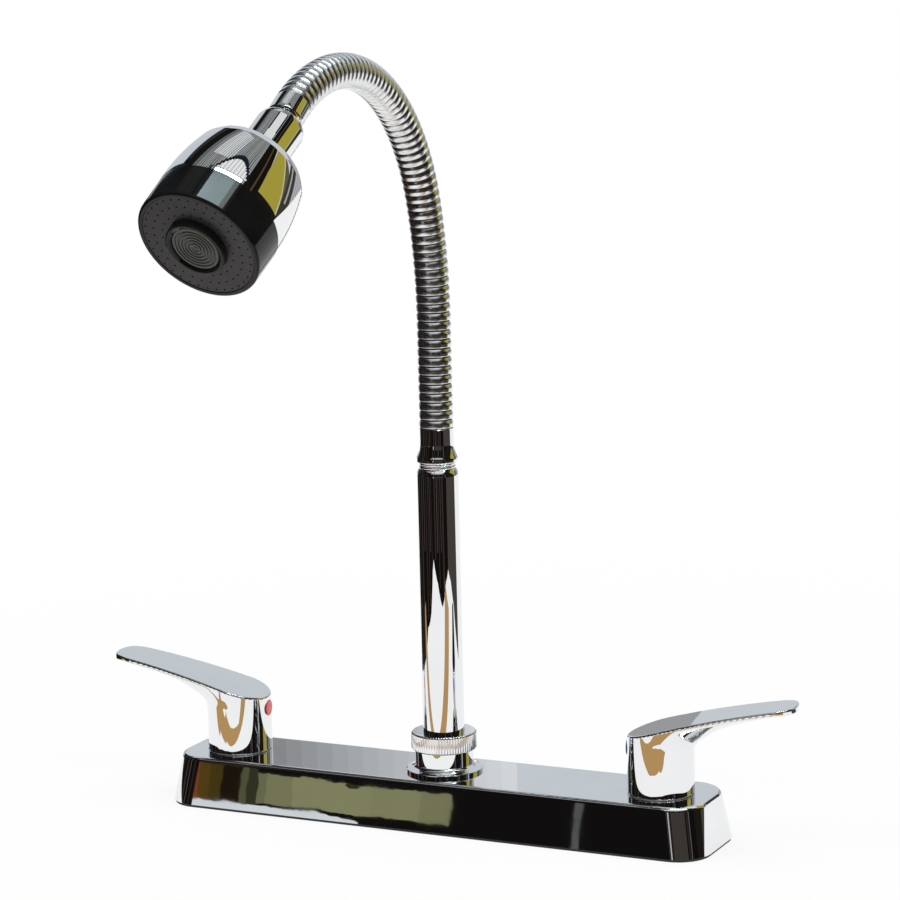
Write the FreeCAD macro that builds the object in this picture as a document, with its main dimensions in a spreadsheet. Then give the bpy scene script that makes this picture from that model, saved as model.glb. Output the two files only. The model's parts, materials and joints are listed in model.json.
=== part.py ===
import FreeCAD, Part
import Sketcher
import math
import os

# Two-handle deck mixer tap with a ribbed gooseneck and a swivelling spray head.
# Millimetres. Origin on the deck, under the spout's axis, +Z up, -Y towards the user, +X to the cold side.

doc = FreeCAD.newDocument("mixer_tap")
sheet = doc.addObject("Spreadsheet::Sheet", "Params")

SIZES = [
    # name, size, what it is
    ("handle_reach", 101.6, "spout axis to each handle's axis"),
    ("running_gap", 0.05, "radial clearance of turning fits"),
    ("free_gap", 0.3, "clearance between pieces that pass each other"),
    ("seat_gap", 0.1, "radial clearance of pieces that sit in one another"),
    # base
    ("gasket_height", 1.2, "deck gasket"),
    ("gasket_inset", 0.6, "gasket edge inside the cover's edge"),
    ("gasket_band", 5.0, "width of the gasket's band"),
    ("cover_overhang", 26.6, "from each handle's axis to the cover's end"),
    ("cover_length", "=2 * (handle_reach + cover_overhang)", "cover at the deck, left to right"),
    ("cover_width", 51.0, "cover at the deck, front to back"),
    ("cover_corner", 14.5, "plan corner radius at the deck"),
    ("cover_taper", 3.5, "how far each side leans in up to the top"),
    ("cover_top", 22.2, "top face of the cover above the deck"),
    ("cover_wall", 1.8, "cover wall"),
    ("cover_edge", 2.0, "rounding of the cover's top edge"),
    # valves under the handles
    ("foot_radius", 16.0, "foot of a valve body or socket"),
    ("foot_height", 3.0, "foot thickness"),
    ("shank_radius", 10.45, "half inch shank, outside the thread"),
    ("shank_length", 52.0, "shank below the deck"),
    ("tail_length", 20.0, "shank's lower end, for the supply hose's nut"),
    ("undercut_height", 2.0, "undercut above that end"),
    ("undercut_depth", 0.9, "depth of the undercut"),
    ("inlet_radius", 6.5, "bore of the shank"),
    ("inlet_top", 3.5, "top of the wide inlet bore"),
    ("seat_hole", 3.0, "hole in the valve seat"),
    ("barrel_radius", 10.6, "valve barrel"),
    ("barrel_top", 26.0, "top of the barrel"),
    ("cavity_radius", 8.4, "barrel bore for the cartridge"),
    ("cavity_floor", 6.0, "floor of the barrel bore"),
    ("seal_height", 1.5, "rubber seat seal"),
    ("disc_height", 3.0, "each ceramic disc"),
    ("disc_radius", 6.7, "fixed ceramic disc"),
    ("disc_port", 1.8, "port in a ceramic disc"),
    ("disc_port_reach", 3.9, "port's distance from the disc's centre"),
    ("sleeve_wall", 1.4, "cartridge sleeve wall"),
    ("drive_height", 2.0, "spindle's drive flange"),
    ("cartridge_flange", 1.6, "flange of the cartridge on the barrel"),
    ("spindle_radius", 4.0, "spindle"),
    ("spindle_top", 45.0, "top of the spindle"),
    ("bonnet_radius", 12.2, "slotted bonnet nut"),
    ("bonnet_height", 3.6, "its height"),
    ("bonnet_slot", 2.4, "width and depth of its slots"),
    ("washer_radius", 17.0, "shank washer"),
    ("washer_height", 2.0, "shank washer"),
    ("locknut_radius", 18.0, "lock nut across its corners"),
    ("locknut_sides", 6, "sides of a lock nut"),
    ("locknut_height", 9.0, "lock nut"),
    ("deck_thickness", 18.0, "worktop that the shanks are clamped to"),
    # waterways
    ("waterway_radius", 4.5, "tube between valve and spout socket"),
    ("waterway_bore", 3.5, "its bore"),
    ("waterway_height", 13.0, "its axis above the deck"),
    ("pipe_end", 1.0, "how far the tube's ends stay back in their ports"),
    # handles
    ("post_radius", 14.3, "handle post"),
    ("post_wall", 1.5, "wall of the hollow post"),
    ("glide_height", 0.5, "glide ring under the post"),
    ("glide_band", 1.6, "width of the glide ring"),
    ("post_cavity", 32.0, "roof of the post's cavity"),
    ("crown_height", 51.3, "top face over the post's axis"),
    ("crown_radius", 450.0, "radius of the slightly domed top face"),
    ("crown_lean", 121.3, "how far along the lever the dome would be highest"),
    ("lever_length", 59.2, "post axis to the lever's tip"),
    ("tip_width", 21.4, "lever width at its tip"),
    ("tip_bulge", 3.8, "how far the tip bulges out"),
    ("tip_radius", 17.0, "roundness of the tip seen from above"),
    ("tip_corner", 4.0, "corner rounding of the tip seen from above"),
    ("rim_height", 2.0, "lever's rim thickness"),
    ("lever_blank", 30.0, "underside of the lever's blank above the deck"),
    ("keel_tip", 1.0, "how far the underside bulges below the rim, at the tip"),
    ("keel_outer", 2.6, "the same at two thirds of the lever's length"),
    ("keel_inner", 4.8, "the same at two fifths of its length"),
    ("keel_root", 8.5, "the same where it leaves the post"),
    ("keel_inside", 12.5, "the same just inside the post"),
    ("keel_tip_share", 1.01, "where those five lie, as shares of the lever's length: the tip"),
    ("keel_outer_share", 0.67, "outer part"),
    ("keel_inner_share", 0.42, "inner part"),
    ("keel_root_share", 0.27, "root"),
    ("keel_inside_share", 0.10, "inside the post"),
    ("hot_swing", 3.0, "hot lever turned to the front, degrees"),
    ("cold_swing", 8.0, "cold lever turned to the back, degrees"),
    ("plug_radius", 3.7, "index plug"),
    ("plug_height", 41.5, "axis of the index plug"),
    ("plug_depth", 2.6, "index plug thickness"),
    ("plug_proud", 0.3, "index plug standing out of the post"),
    ("plug_round", 0.5, "rounding of the plug's face"),
    ("screw_radius", 2.0, "grub screw"),
    ("screw_length", 5.5, "grub screw"),
    ("flat_depth", 0.4, "flat on the spindle under the grub screw"),
    # spout foot
    ("socket_radius", 13.0, "spout socket inside the cover"),
    ("stub_radius", 11.3, "threaded stub of the socket"),
    ("stub_top", 37.4, "top of the stub"),
    ("socket_floor", 7.0, "floor of the socket's bore"),
    ("flange_radius", 16.75, "spout flange"),
    ("flange_rim", 1.4, "straight rim of the flange"),
    ("flange_cone", 25.4, "top of the flange's hollow cone"),
    ("flange_curve", 6.0, "radius of that hollow curve"),
    ("collar_radius", 12.75, "plain collar under the knurled nut"),
    ("nut_base", 31.9, "underside of the knurled nut"),
    ("nut_top", 39.8, "top of the knurled nut"),
    ("nut_radius", 14.3, "knurled nut over its ridges"),
    ("knurl_depth", 0.35, "depth of the knurl"),
    ("knurl_count", 72, "ridges of the knurl"),
    ("nut_chamfer", 0.5, "chamfer of the knurled nut"),
    # upright tube
    ("tube_radius", 9.05, "upright tube"),
    ("tube_bore", 7.2, "its bore"),
    ("tube_foot", 18.5, "lower end of the tube"),
    ("tube_top", 155.8, "upper end of the tube"),
    ("tube_shoulder", 1.2, "how far the tube's top edge draws in"),
    ("tube_shoulder_height", 3.2, "height of that shoulder"),
    ("tube_shoulder_curve", 4.9, "radius of that shoulder"),
    ("ring_low", 21.5, "lower O-ring"),
    ("ring_step", 6.0, "from one O-ring to the next"),
    ("ring_height", 1.8, "O-ring"),
    ("ring_groove", 0.8, "depth of the O-ring grooves"),
    ("clip_height", 1.0, "retaining ring"),
    ("clip_groove", 0.6, "depth of its groove in the tube"),
    ("clip_gap", 0.15, "retaining ring's play up and down"),
    ("clip_slit", 3.0, "slit of the retaining ring"),
    # joint between tube and hose
    ("bead_height", 3.0, "bead washer"),
    ("bead_root", 7.3, "between the washer's two beads"),
    ("bead_curve", 0.78, "radius of each bead"),
    ("bell_radius", 8.95, "lower ferrule at its bell"),
    ("bell_rim", 1.6, "straight rim of the bell"),
    ("bell_height", 8.4, "height of the bell"),
    ("bell_curve", 15.4, "radius of the bell's hollow curve"),
    ("ferrule_height", 14.6, "lower ferrule"),
    ("spigot_radius", 6.7, "ferrule's spigot in the tube"),
    ("spigot_length", 11.0, "its length below the tube's top"),
    # gooseneck route
    ("route_rise", 45.2, "straight stretch of ribbed hose"),
    ("first_bend_radius", 176.6, "radius of the gentle first bend"),
    ("first_bend", 16.8, "its angle, degrees"),
    ("main_bend_radius", 86.9, "radius of the main bend"),
    ("main_bend", 107.5, "its angle to the end of the upper ferrule, degrees"),
    ("spout_heading", 2.7, "spout turned to the cold side, degrees"),
    ("rib_radius", 7.35, "crest of a rib"),
    ("rib_groove", 0.6, "depth of the grooves between ribs"),
    ("rib_slope", 0.25, "how much lower each band starts than it ends"),
    ("rib_face_share", 0.70, "end of each band's face, as a share of the step from rib to rib"),
    ("rib_edge_share", 0.78, "foot of its edge"),
    ("rib_floor_share", 0.92, "end of the groove's floor"),
    ("ribs_per_section", 13, "ribs in each section of hose"),
    ("section_count", 5, "sections of hose, joined by flexing joints"),
    ("hose_bore", 5.6, "bore of the ribbed hose"),
    ("inner_hose_radius", 5.2, "inner water hose"),
    ("inner_hose_bore", 3.6, "its bore"),
    ("upper_ferrule_length", 9.0, "upper ferrule"),
    # swivel
    ("pivot_reach", 7.0, "upper ferrule's end to the ball's centre"),
    ("ball_radius", 7.5, "ball of the swivel"),
    ("stem_radius", 4.0, "ball stem"),
    ("stem_bore", 2.4, "water bore of the ball stem"),
    ("stem_spigot", 5.2, "stem's spigot in the upper ferrule"),
    ("stem_spigot_length", 5.5, "its length"),
    ("ball_bottom", 5.6, "where the ball is cut flat"),
    ("liner_radius", 8.3, "outside of the socket liner"),
    ("liner_top", 3.3, "liner's upper edge above the ball's centre"),
    ("liner_bottom", 2.2, "liner's lower edge below the ball's centre"),
    ("head_turn", -6.6, "head turned sideways on its ball, degrees"),
    ("neck_radius", 9.8, "swivel collar"),
    ("neck_top", 4.2, "collar's upper end above the ball's centre"),
    ("neck_mouth", 7.25, "mouth of the collar round the stem"),
    ("neck_round", 1.7, "rounding of the collar's shoulder"),
    ("neck_shoulder", 3.0, "height of the sloping shoulder"),
    ("neck_shoulder_draw", 0.9, "how far the shoulder draws in"),
    ("neck_flange_radius", 11.4, "collar's flange inside the head"),
    ("neck_flange_height", 2.6, "that flange"),
    ("flange_groove", 1.0, "depth of the groove in its edge"),
    ("flange_ring_height", 1.2, "O-ring in that groove"),
    ("ball_seat_top", 4.6, "seat's upper edge below the ball's centre"),
    ("ball_seat_height", 7.0, "ball seat"),
    ("ball_seat_bore", 4.5, "its bore"),
    # spray head, along its own axis from the ball's centre
    ("head_back", 21.6, "flat back of the head"),
    ("lip_rise", 3.5, "cup lip standing behind the back"),
    ("lip_radius", 15.6, "foot of the cup lip"),
    ("lip_step", 0.7, "width of each of its two steps"),
    ("lip_step_height", 1.15, "height of each step"),
    ("lip_mouth", 13.2, "inside of the cup lip"),
    ("cup_depth", 3.0, "floor of the cup below the back"),
    ("land_height", 2.0, "bearing land round the collar"),
    ("back_radius", 20.4, "edge of the flat back"),
    ("back_round", 1.3, "rounding of that edge"),
    ("bell_shoulder", 22.5, "head radius just under its shoulder"),
    ("bell_shoulder_depth", 3.4, "how far that lies in front of the back"),
    ("head_radius", 25.5, "widest radius of the head"),
    ("head_curve", 90.0, "radius of the swelling side"),
    ("bell_front", 51.4, "front edge of the chrome shell"),
    ("head_wall", 1.6, "wall of the shell"),
    ("face_front", 67.0, "front of the black ring"),
    ("face_round", 1.8, "rounding of the black ring's front"),
    ("face_draw", 0.3, "how far the black ring narrows to its front"),
    ("face_skirt", 2.4, "skirt of the black ring inside the shell"),
    ("face_wall", 2.1, "wall of the black ring"),
    ("face_ledge", 1.4, "ledge that the spray plate sits on"),
    ("plate_depth", 0.3, "spray plate behind the ring's front"),
    ("plate_height", 1.6, "spray plate"),
    ("aerator_radius", 12.2, "black aerator ring"),
    ("aerator_front", 69.8, "front of the aerator ring"),
    ("aerator_depth", 11.5, "length of the aerator ring"),
    ("aerator_round", 1.2, "rounding of the aerator ring"),
    ("insert_radius", 9.8, "grey aerator insert"),
    ("insert_depth", 1.0, "insert behind the ring's front"),
    ("insert_height", 3.6, "aerator insert"),
    ("insert_ridge", 0.5, "depth of the grooves in the insert's face"),
    ("insert_rings", 5, "grooves in the insert's face"),
    ("manifold_cup", 13.4, "manifold's cup over the collar's flange"),
    ("manifold_wall", 1.6, "its wall"),
    ("manifold_web", 2.0, "floor of the cup"),
    ("manifold_rim", 23.0, "radius of the manifold's plate"),
    ("manifold_plate", 2.4, "thickness of that plate"),
    ("manifold_bore", 7.6, "manifold's tube to the aerator"),
    ("manifold_tube_wall", 1.7, "wall of that tube"),
    ("manifold_front", 64.5, "front end of that tube"),
    # rocker switch
    ("rocker_length", 27.0, "rocker, across the head"),
    ("rocker_width", 11.5, "rocker, along the head"),
    ("rocker_place", 34.6, "rocker's centre along the head's axis"),
    ("rocker_turn", 145.2, "rocker's place round the head, degrees"),
    ("rocker_proud", 1.5, "rocker pads standing out of the shell"),
    ("rocker_dip", 1.0, "how far its middle lies below the pads"),
    ("rocker_middle", 9.0, "length of the lower middle"),
    ("rocker_floor", 16.2, "rocker's underside from the head's axis"),
    ("rocker_gap", 0.4, "gap between the rocker and the shell"),
    ("rocker_pin_radius", 1.0, "rocker pin"),
    ("rocker_pin_reach", 18.2, "pin's distance from the head's axis"),
    ("rocker_ear", 1.4, "thickness of the ears that hold the pin"),
    ("rocker_ear_width", 5.0, "width of the ears"),
    ("rocker_ear_reach", 20.0, "outer end of the ears from the head's axis"),
    ("cam_radius", 1.7, "diverter cam"),
    ("cam_reach", 10.6, "inner end of the cam from the head's axis"),
]
for row, (alias, cell, note) in enumerate(SIZES, start=1):
    sheet.set("A%d" % row, note)
    sheet.set("B%d" % row, str(cell))
    sheet.setAlias("B%d" % row, alias)
doc.recompute()
size = {alias: float(sheet.get(alias)) for alias, cell, note in SIZES}

X = FreeCAD.Vector(1, 0, 0)
Y = FreeCAD.Vector(0, 1, 0)
Z = FreeCAD.Vector(0, 0, 1)
ORIGIN = FreeCAD.Vector(0, 0, 0)
parts = []


def number(text):
    """The value of a sum of sizes, such as "nut_base + 2 * free_gap - nut_chamfer"."""
    total = 0.0
    for term in text.replace("- ", "+ -").split("+ "):
        sign = -1.0 if term.startswith("-") else 1.0
        product = sign
        for factor in term.lstrip("-").split("*"):
            word = factor.strip()
            product *= size[word] if word in size else float(word)
        total += product
    return total


def bound(text):
    """The same sum, written with the sheet's cells."""
    return " ".join("Params." + word if word in size else word for word in text.split())


def origin_plane(body, role):
    return [feature for feature in body.Origin.OriginFeatures if feature.Role == role][0]


def new_sketch(body, name, role, offset=None):
    sketch = body.newObject("Sketcher::SketchObject", name)
    sketch.AttachmentSupport = [(origin_plane(body, role), "")]
    sketch.MapMode = "FlatFace"
    if offset:
        sketch.setExpression("AttachmentOffset.Base.z", bound(offset))
    return sketch


def pin_point(sketch, line, end, right, up):
    """Ties one end of a line to its distances from the sketch's origin."""
    for kind, text, axis in (("DistanceX", right, -2), ("DistanceY", up, -1)):
        if number(text) == 0.0:
            sketch.addConstraint(Sketcher.Constraint("PointOnObject", line, end, axis))
        else:
            index = sketch.addConstraint(Sketcher.Constraint(kind, -1, 1, line, end, number(text)))
            sketch.setExpression("Constraints[%d]" % index, bound(text))


def arc_between(start, end, radius, left):
    """A round stretch from start to end, with its centre left or right of the way it goes."""
    half = (end - start) * 0.5
    across = FreeCAD.Vector(-half.y, half.x, 0).normalize() * (1 if left else -1)
    centre = start + half + across * math.sqrt(radius ** 2 - half.Length ** 2)
    first, last = (start, end) if left else (end, start)
    angles = [math.atan2(point.y - centre.y, point.x - centre.x) for point in (first, last)]
    return Part.ArcOfCircle(Part.Circle(centre, Z, radius), angles[0], angles[1])


def draw_outline(sketch, outline):
    """A closed outline of (right, up) sums; two more entries, a radius and a side, make a stretch round."""
    points = [FreeCAD.Vector(number(corner[0]), number(corner[1]), 0) for corner in outline]
    count = len(outline)
    ends = []
    for i, corner in enumerate(outline):
        start, end = points[i], points[(i + 1) % count]
        if len(corner) == 2:
            sketch.addGeometry(Part.LineSegment(start, end), False)
            ends.append((1, 2))
        else:
            left = corner[3] == "left"
            sketch.addGeometry(arc_between(start, end, number(corner[2]), left), False)
            ends.append((1, 2) if left else (2, 1))
    for i in range(count):
        following = (i + 1) % count
        meet = Sketcher.Constraint("Coincident", i, ends[i][1], following, ends[following][0])
        sketch.addConstraint(meet)
    for i, corner in enumerate(outline):
        pin_point(sketch, i, ends[i][0], corner[0], corner[1])
        if len(corner) > 2:
            index = sketch.addConstraint(Sketcher.Constraint("Radius", i, number(corner[2])))
            sketch.setExpression("Constraints[%d]" % index, bound(corner[2]))


def ring_edges(shape, radius, height):
    """Names of the round edges about the Z axis at one radius and height."""
    names = []
    for i, edge in enumerate(shape.Edges, start=1):
        curve = edge.Curve
        if isinstance(curve, Part.Circle) and abs(curve.Radius - radius) < 1e-4:
            if abs(curve.Center.z - height) < 1e-4 and math.hypot(curve.Center.x, curve.Center.y) < 1e-4:
                names.append("Edge%d" % i)
    return names


def turned(name, outline, rounds=()):
    """A Body turned about Z from its half outline; rounds lists (corner number, radius)."""
    body = doc.addObject("PartDesign::Body", name)
    sketch = new_sketch(body, name + "_outline", "XZ_Plane")
    draw_outline(sketch, outline)
    turn = body.newObject("PartDesign::Revolution", name + "_turn")
    turn.Profile = sketch
    turn.ReferenceAxis = (sketch, ["V_Axis"])
    turn.Angle = 360
    last = turn
    for corner, radius in rounds:
        doc.recompute()
        fillet = body.newObject("PartDesign::Fillet", "%s_round_%d" % (name, corner))
        right, up = outline[corner][:2]
        fillet.Base = (last, ring_edges(last.Shape, number(right), number(up)))
        fillet.setExpression("Radius", bound(radius))
        last = fillet
    return body


def rounded_box(name, length, width, corner, low, height):
    """A Body padded from a rectangle with round corners, centred on the Z axis."""
    body = doc.addObject("PartDesign::Body", name)
    sketch = new_sketch(body, name + "_plan", "XY_Plane", low)
    draw_rounded_rectangle(sketch, length, width, corner)
    pad = body.newObject("PartDesign::Pad", name + "_pad")
    pad.Profile = sketch
    pad.setExpression("Length", bound(height))
    return body


def draw_rounded_rectangle(sketch, length, width, corner):
    across, deep, round_off = 0.5 * number(length), 0.5 * number(width), number(corner)
    for quarter in range(4):
        wide = (across, deep) if quarter % 2 == 0 else (deep, across)
        turn = FreeCAD.Rotation(Z, 90 * quarter)
        start = turn.multVec(FreeCAD.Vector(round_off - wide[0], -wide[1], 0))
        end = turn.multVec(FreeCAD.Vector(wide[0] - round_off, -wide[1], 0))
        centre = turn.multVec(FreeCAD.Vector(wide[0] - round_off, round_off - wide[1], 0))
        sketch.addGeometry(Part.LineSegment(start, end), False)
        from_angle = math.radians(90 * (quarter - 1))
        circle = Part.Circle(centre, Z, round_off)
        sketch.addGeometry(Part.ArcOfCircle(circle, from_angle, from_angle + math.pi / 2), False)
    for i in range(8):
        sketch.addConstraint(Sketcher.Constraint("Tangent", i, 2, (i + 1) % 8, 1))
    for line, direction in ((0, "Horizontal"), (2, "Vertical"), (4, "Horizontal"), (6, "Vertical")):
        sketch.addConstraint(Sketcher.Constraint(direction, line))
    for arc in (3, 5, 7):
        sketch.addConstraint(Sketcher.Constraint("Equal", 1, arc))
    sides = (("DistanceY", 0, -1, width), ("DistanceX", 2, 1, length),
             ("DistanceY", 4, 1, width), ("DistanceX", 6, -1, length))
    for kind, line, sign, text in sides:
        where = 0.5 * sign * number(text)
        index = sketch.addConstraint(Sketcher.Constraint(kind, -1, 1, line, 1, where))
        sketch.setExpression("Constraints[%d]" % index, "%g * (%s)" % (0.5 * sign, bound(text)))
    index = sketch.addConstraint(Sketcher.Constraint("Radius", 1, round_off))
    sketch.setExpression("Constraints[%d]" % index, bound(corner))


def rod(name, radius, length, start=("0", "0", "0"), axis=Z):
    """A Part cylinder from a start point along an axis."""
    item = doc.addObject("Part::Cylinder", name)
    item.setExpression("Radius", bound(radius))
    item.setExpression("Height", bound(length))
    item.Placement = FreeCAD.Placement(ORIGIN, FreeCAD.Rotation(Z, axis))
    for letter, text in zip("xyz", start):
        item.setExpression("Placement.Base." + letter, bound(text))
    return item


def ball(name, radius):
    item = doc.addObject("Part::Sphere", name)
    item.setExpression("Radius", bound(radius))
    return item


def hexagon(name, radius, height, low):
    """A prism with the nuts' number of sides."""
    item = doc.addObject("Part::Prism", name)
    item.setExpression("Polygon", bound("locknut_sides"))
    item.setExpression("Circumradius", bound(radius))
    item.setExpression("Height", bound(height))
    item.setExpression("Placement.Base.z", bound(low))
    return item


def box(name, low, sides):
    item = doc.addObject("Part::Box", name)
    for letter, text in zip(("Length", "Width", "Height"), sides):
        item.setExpression(letter, bound(text))
    for letter, text in zip("xyz", low):
        item.setExpression("Placement.Base." + letter, bound(text))
    return item


def joined(name, pieces):
    item = doc.addObject("Part::MultiFuse", name)
    item.Shapes = pieces
    return item


def shared(name, pieces):
    item = doc.addObject("Part::MultiCommon", name)
    item.Shapes = pieces
    return item


def cut(name, base, tools):
    item = doc.addObject("Part::Cut", name)
    item.Base = base
    item.Tool = tools[0] if len(tools) == 1 else joined(name + "_tools", tools)
    return item


def keep(label, item, frame=None):
    """Names a finished sub-part and puts it in its place."""
    item.Label = label
    if frame:
        item.Placement = frame
    parts.append(item)
    return item


def fixed_shape(name, shape):
    item = doc.addObject("Part::Feature", name)
    item.Shape = shape
    return item


# Base: cover, gasket
def make_base():
    body = doc.addObject("PartDesign::Body", "cover_shell")
    plans = []
    inner = "cover_length - 2 * cover_wall", "cover_width - 2 * cover_wall", "cover_corner - cover_wall"
    lean = " - 2 * cover_taper"
    levels = [
        ("outer_foot", "cover_length", "cover_width", "cover_corner", "gasket_height"),
        ("outer_top", "cover_length" + lean, "cover_width" + lean, "cover_corner", "cover_top"),
        ("inner_foot", inner[0], inner[1], inner[2], "gasket_height"),
        ("inner_top", inner[0] + lean, inner[1] + lean, inner[2], "cover_top - cover_wall"),
    ]
    for name, length, width, corner, height in levels:
        plan = new_sketch(body, name, "XY_Plane", height)
        draw_rounded_rectangle(plan, length, width, corner)
        plans.append(plan)
    shell = body.newObject("PartDesign::AdditiveLoft", "cover_block")
    shell.Profile = plans[0]
    shell.Sections = [plans[1]]
    shell.Ruled = True
    hollow = body.newObject("PartDesign::SubtractiveLoft", "cover_hollow")
    hollow.Profile = plans[2]
    hollow.Sections = [plans[3]]
    hollow.Ruled = True
    doc.recompute()
    rim = [
        "Edge%d" % i for i, edge in enumerate(hollow.Shape.Edges, start=1)
        if edge.BoundBox.ZMin > size["cover_top"] - 1e-4
    ]
    top_round = body.newObject("PartDesign::Fillet", "cover_top_round")
    top_round.Base = (hollow, rim)
    top_round.setExpression("Radius", bound("cover_edge"))
    above = "cover_top - 2 * cover_wall"
    holes = [rod("spout_hole", "stub_radius + free_gap", "3 * cover_wall", ("0", "0", above))]
    for side, x in (("hot", "0 - handle_reach"), ("cold", "handle_reach")):
        holes.append(rod(side + "_hole", "barrel_radius + free_gap", "3 * cover_wall", (x, "0", above)))
    keep("base_cover", cut("cover", body, holes))

    outer = ["cover_length - 2 * gasket_inset", "cover_width - 2 * gasket_inset", "cover_corner - gasket_inset"]
    band = rounded_box("gasket_outside", *outer, "0", "gasket_height")
    opening = rounded_box(
        "gasket_opening", outer[0] + " - 2 * gasket_band", outer[1] + " - 2 * gasket_band",
        outer[2] + " - gasket_band", "0", "gasket_height")
    keep("deck_gasket", cut("gasket", band, [opening]))


# Valves: one set under each handle
DISC_TOP = "cavity_floor + seal_height + disc_height"
DRIVE_TOP = "cavity_floor + seal_height + 2 * disc_height + drive_height"


def make_valve(side, sign):
    x = "%s * handle_reach" % sign
    inwards = FreeCAD.Vector(-float(sign), 0, 0)
    here = FreeCAD.Placement(FreeCAD.Vector(number(x), 0, 0), FreeCAD.Rotation())
    tail_top = "tail_length - shank_length"
    undercut = "shank_radius - undercut_depth"
    blank = turned(side + "_casting", [
        ("0", "0 - shank_length"), ("shank_radius", "0 - shank_length"), ("shank_radius", tail_top),
        (undercut, tail_top), (undercut, tail_top + " + undercut_height"),
        ("shank_radius", tail_top + " + undercut_height"), ("shank_radius", "0"),
        ("foot_radius", "0"), ("foot_radius", "foot_height"), ("barrel_radius", "foot_height"),
        ("barrel_radius", "barrel_top"), ("0", "barrel_top")])
    bores = [
        rod(side + "_inlet", "inlet_radius", "shank_length + inlet_top", ("0", "0", "0 - shank_length")),
        rod(side + "_seat_hole", "seat_hole", "cavity_floor", ("0", "0", "0")),
        rod(side + "_cavity", "cavity_radius", "barrel_top", ("0", "0", "cavity_floor")),
        rod(side + "_outlet", "waterway_radius + seat_gap", "barrel_radius + 1",
            ("0", "0", "waterway_height"), inwards),
    ]
    keep(side + "_valve_body", cut(side + "_body", blank, bores), here)

    seal = turned(side + "_seal", [
        ("seat_hole + 0.5", "cavity_floor"), ("disc_radius", "cavity_floor"),
        ("disc_radius", "cavity_floor + seal_height"), ("seat_hole + 0.5", "cavity_floor + seal_height")])
    keep(side + "_seat_seal", seal, here)

    discs = (
        ("fixed_disc", "disc_radius", "cavity_floor + seal_height", X),
        ("moving_disc", "disc_radius - free_gap", DISC_TOP, Y),
    )
    for label, radius, low, way in discs:
        blank = rod("%s_%s_blank" % (side, label), radius, "disc_height", ("0", "0", low))
        reach = "disc_port_reach"
        ports = []
        for place, half in (("a", reach), ("b", "0 - " + reach)):
            start = (half, "0", low) if way == X else ("0", half, low)
            ports.append(rod("%s_%s_port_%s" % (side, label, place), "disc_port", "disc_height", start))
        keep("%s_%s" % (side, label), cut("%s_%s_drilled" % (side, label), blank, ports), here)

    sleeve_bore = "cavity_radius - seat_gap - sleeve_wall"
    sleeve = turned(side + "_sleeve", [
        (sleeve_bore, "cavity_floor + seal_height"),
        ("cavity_radius - seat_gap", "cavity_floor + seal_height"),
        ("cavity_radius - seat_gap", "barrel_top"), ("barrel_radius", "barrel_top"),
        ("barrel_radius", "barrel_top + cartridge_flange"),
        ("spindle_radius + running_gap", "barrel_top + cartridge_flange"),
        ("spindle_radius + running_gap", DRIVE_TOP + " + free_gap"),
        (sleeve_bore, DRIVE_TOP + " + free_gap")])
    window = rod(side + "_window", "waterway_bore", "barrel_radius", ("0", "0", "waterway_height"), inwards)
    keep(side + "_cartridge_body", cut(side + "_cartridge", sleeve, [window]), here)

    nut = rod(side + "_bonnet_blank", "bonnet_radius", "bonnet_height", ("0", "0", "cover_top"))
    thread = rod(side + "_bonnet_thread", "barrel_radius + seat_gap", "bonnet_height", ("0", "0", "cover_top"))
    long, narrow = ("0 - bonnet_radius", "2 * bonnet_radius"), ("-0.5 * bonnet_slot", "bonnet_slot")
    slots = [
        box("%s_bonnet_slot_%d" % (side, i), (x[0], y[0], "cover_top + bonnet_height - bonnet_slot"),
            (x[1], y[1], "bonnet_height"))
        for i, (x, y) in enumerate(((long, narrow), (narrow, long)))]
    keep(side + "_bonnet_nut", cut(side + "_bonnet", nut, [thread] + slots), here)

    glide = turned(side + "_glide", [
        ("post_radius - free_gap - glide_band", "cover_top"), ("post_radius - free_gap", "cover_top"),
        ("post_radius - free_gap", "cover_top + glide_height"),
        ("post_radius - free_gap - glide_band", "cover_top + glide_height")])
    keep(side + "_glide_ring", glide, here)

    outwards = FreeCAD.Vector(float(sign), 0, 0)
    start = ("%s * tube_radius + %s * pipe_end" % (sign, sign), "0", "waterway_height")
    length = "handle_reach - cavity_radius - tube_radius - 2 * pipe_end"
    tube = rod(side + "_waterway_outside", "waterway_radius", length, start, outwards)
    tube_bore = rod(side + "_waterway_inside", "waterway_bore", length, start, outwards)
    keep(side + "_waterway", cut(side + "_waterway_tube", tube, [tube_bore]))


# Shank hardware under the deck
def make_shank_hardware():
    rings = (
        ("shank_washers", "washer_radius", "washer_height", "0 - deck_thickness - washer_height"),
        ("shank_lock_nuts", "locknut_radius", "locknut_height",
         "0 - deck_thickness - washer_height - locknut_height"),
    )
    for label, radius, height, low in rings:
        pair = []
        for side, x in (("hot", "0 - handle_reach"), ("cold", "handle_reach")):
            start = (x, "0", low)
            if label == "shank_washers":
                outside = rod("%s_%s_outside" % (side, label), radius, height, start)
            else:
                outside = hexagon("%s_%s_outside" % (side, label), radius, height, low)
                outside.setExpression("Placement.Base.x", bound(x))
            hole = rod("%s_%s_hole" % (side, label), "shank_radius + seat_gap", height, start)
            pair.append(cut("%s_%s" % (side, label), outside, [hole]))
        group = doc.addObject("Part::Compound", label + "_pair")
        group.Links = pair
        keep(label, group)


# Handles
HALF_TURN = 180


def crown_at(reach):
    """Height of the lever's top face at a distance from the post's axis."""
    radius, lean = size["crown_radius"], size["crown_lean"]
    centre = size["crown_height"] - math.sqrt(radius ** 2 - lean ** 2)
    return centre + math.sqrt(radius ** 2 - (lean - reach) ** 2)


def half_width_at(reach):
    narrowing = (size["post_radius"] - 0.5 * size["tip_width"]) / (size["lever_length"] - size["tip_bulge"])
    return size["post_radius"] - narrowing * reach


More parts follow.
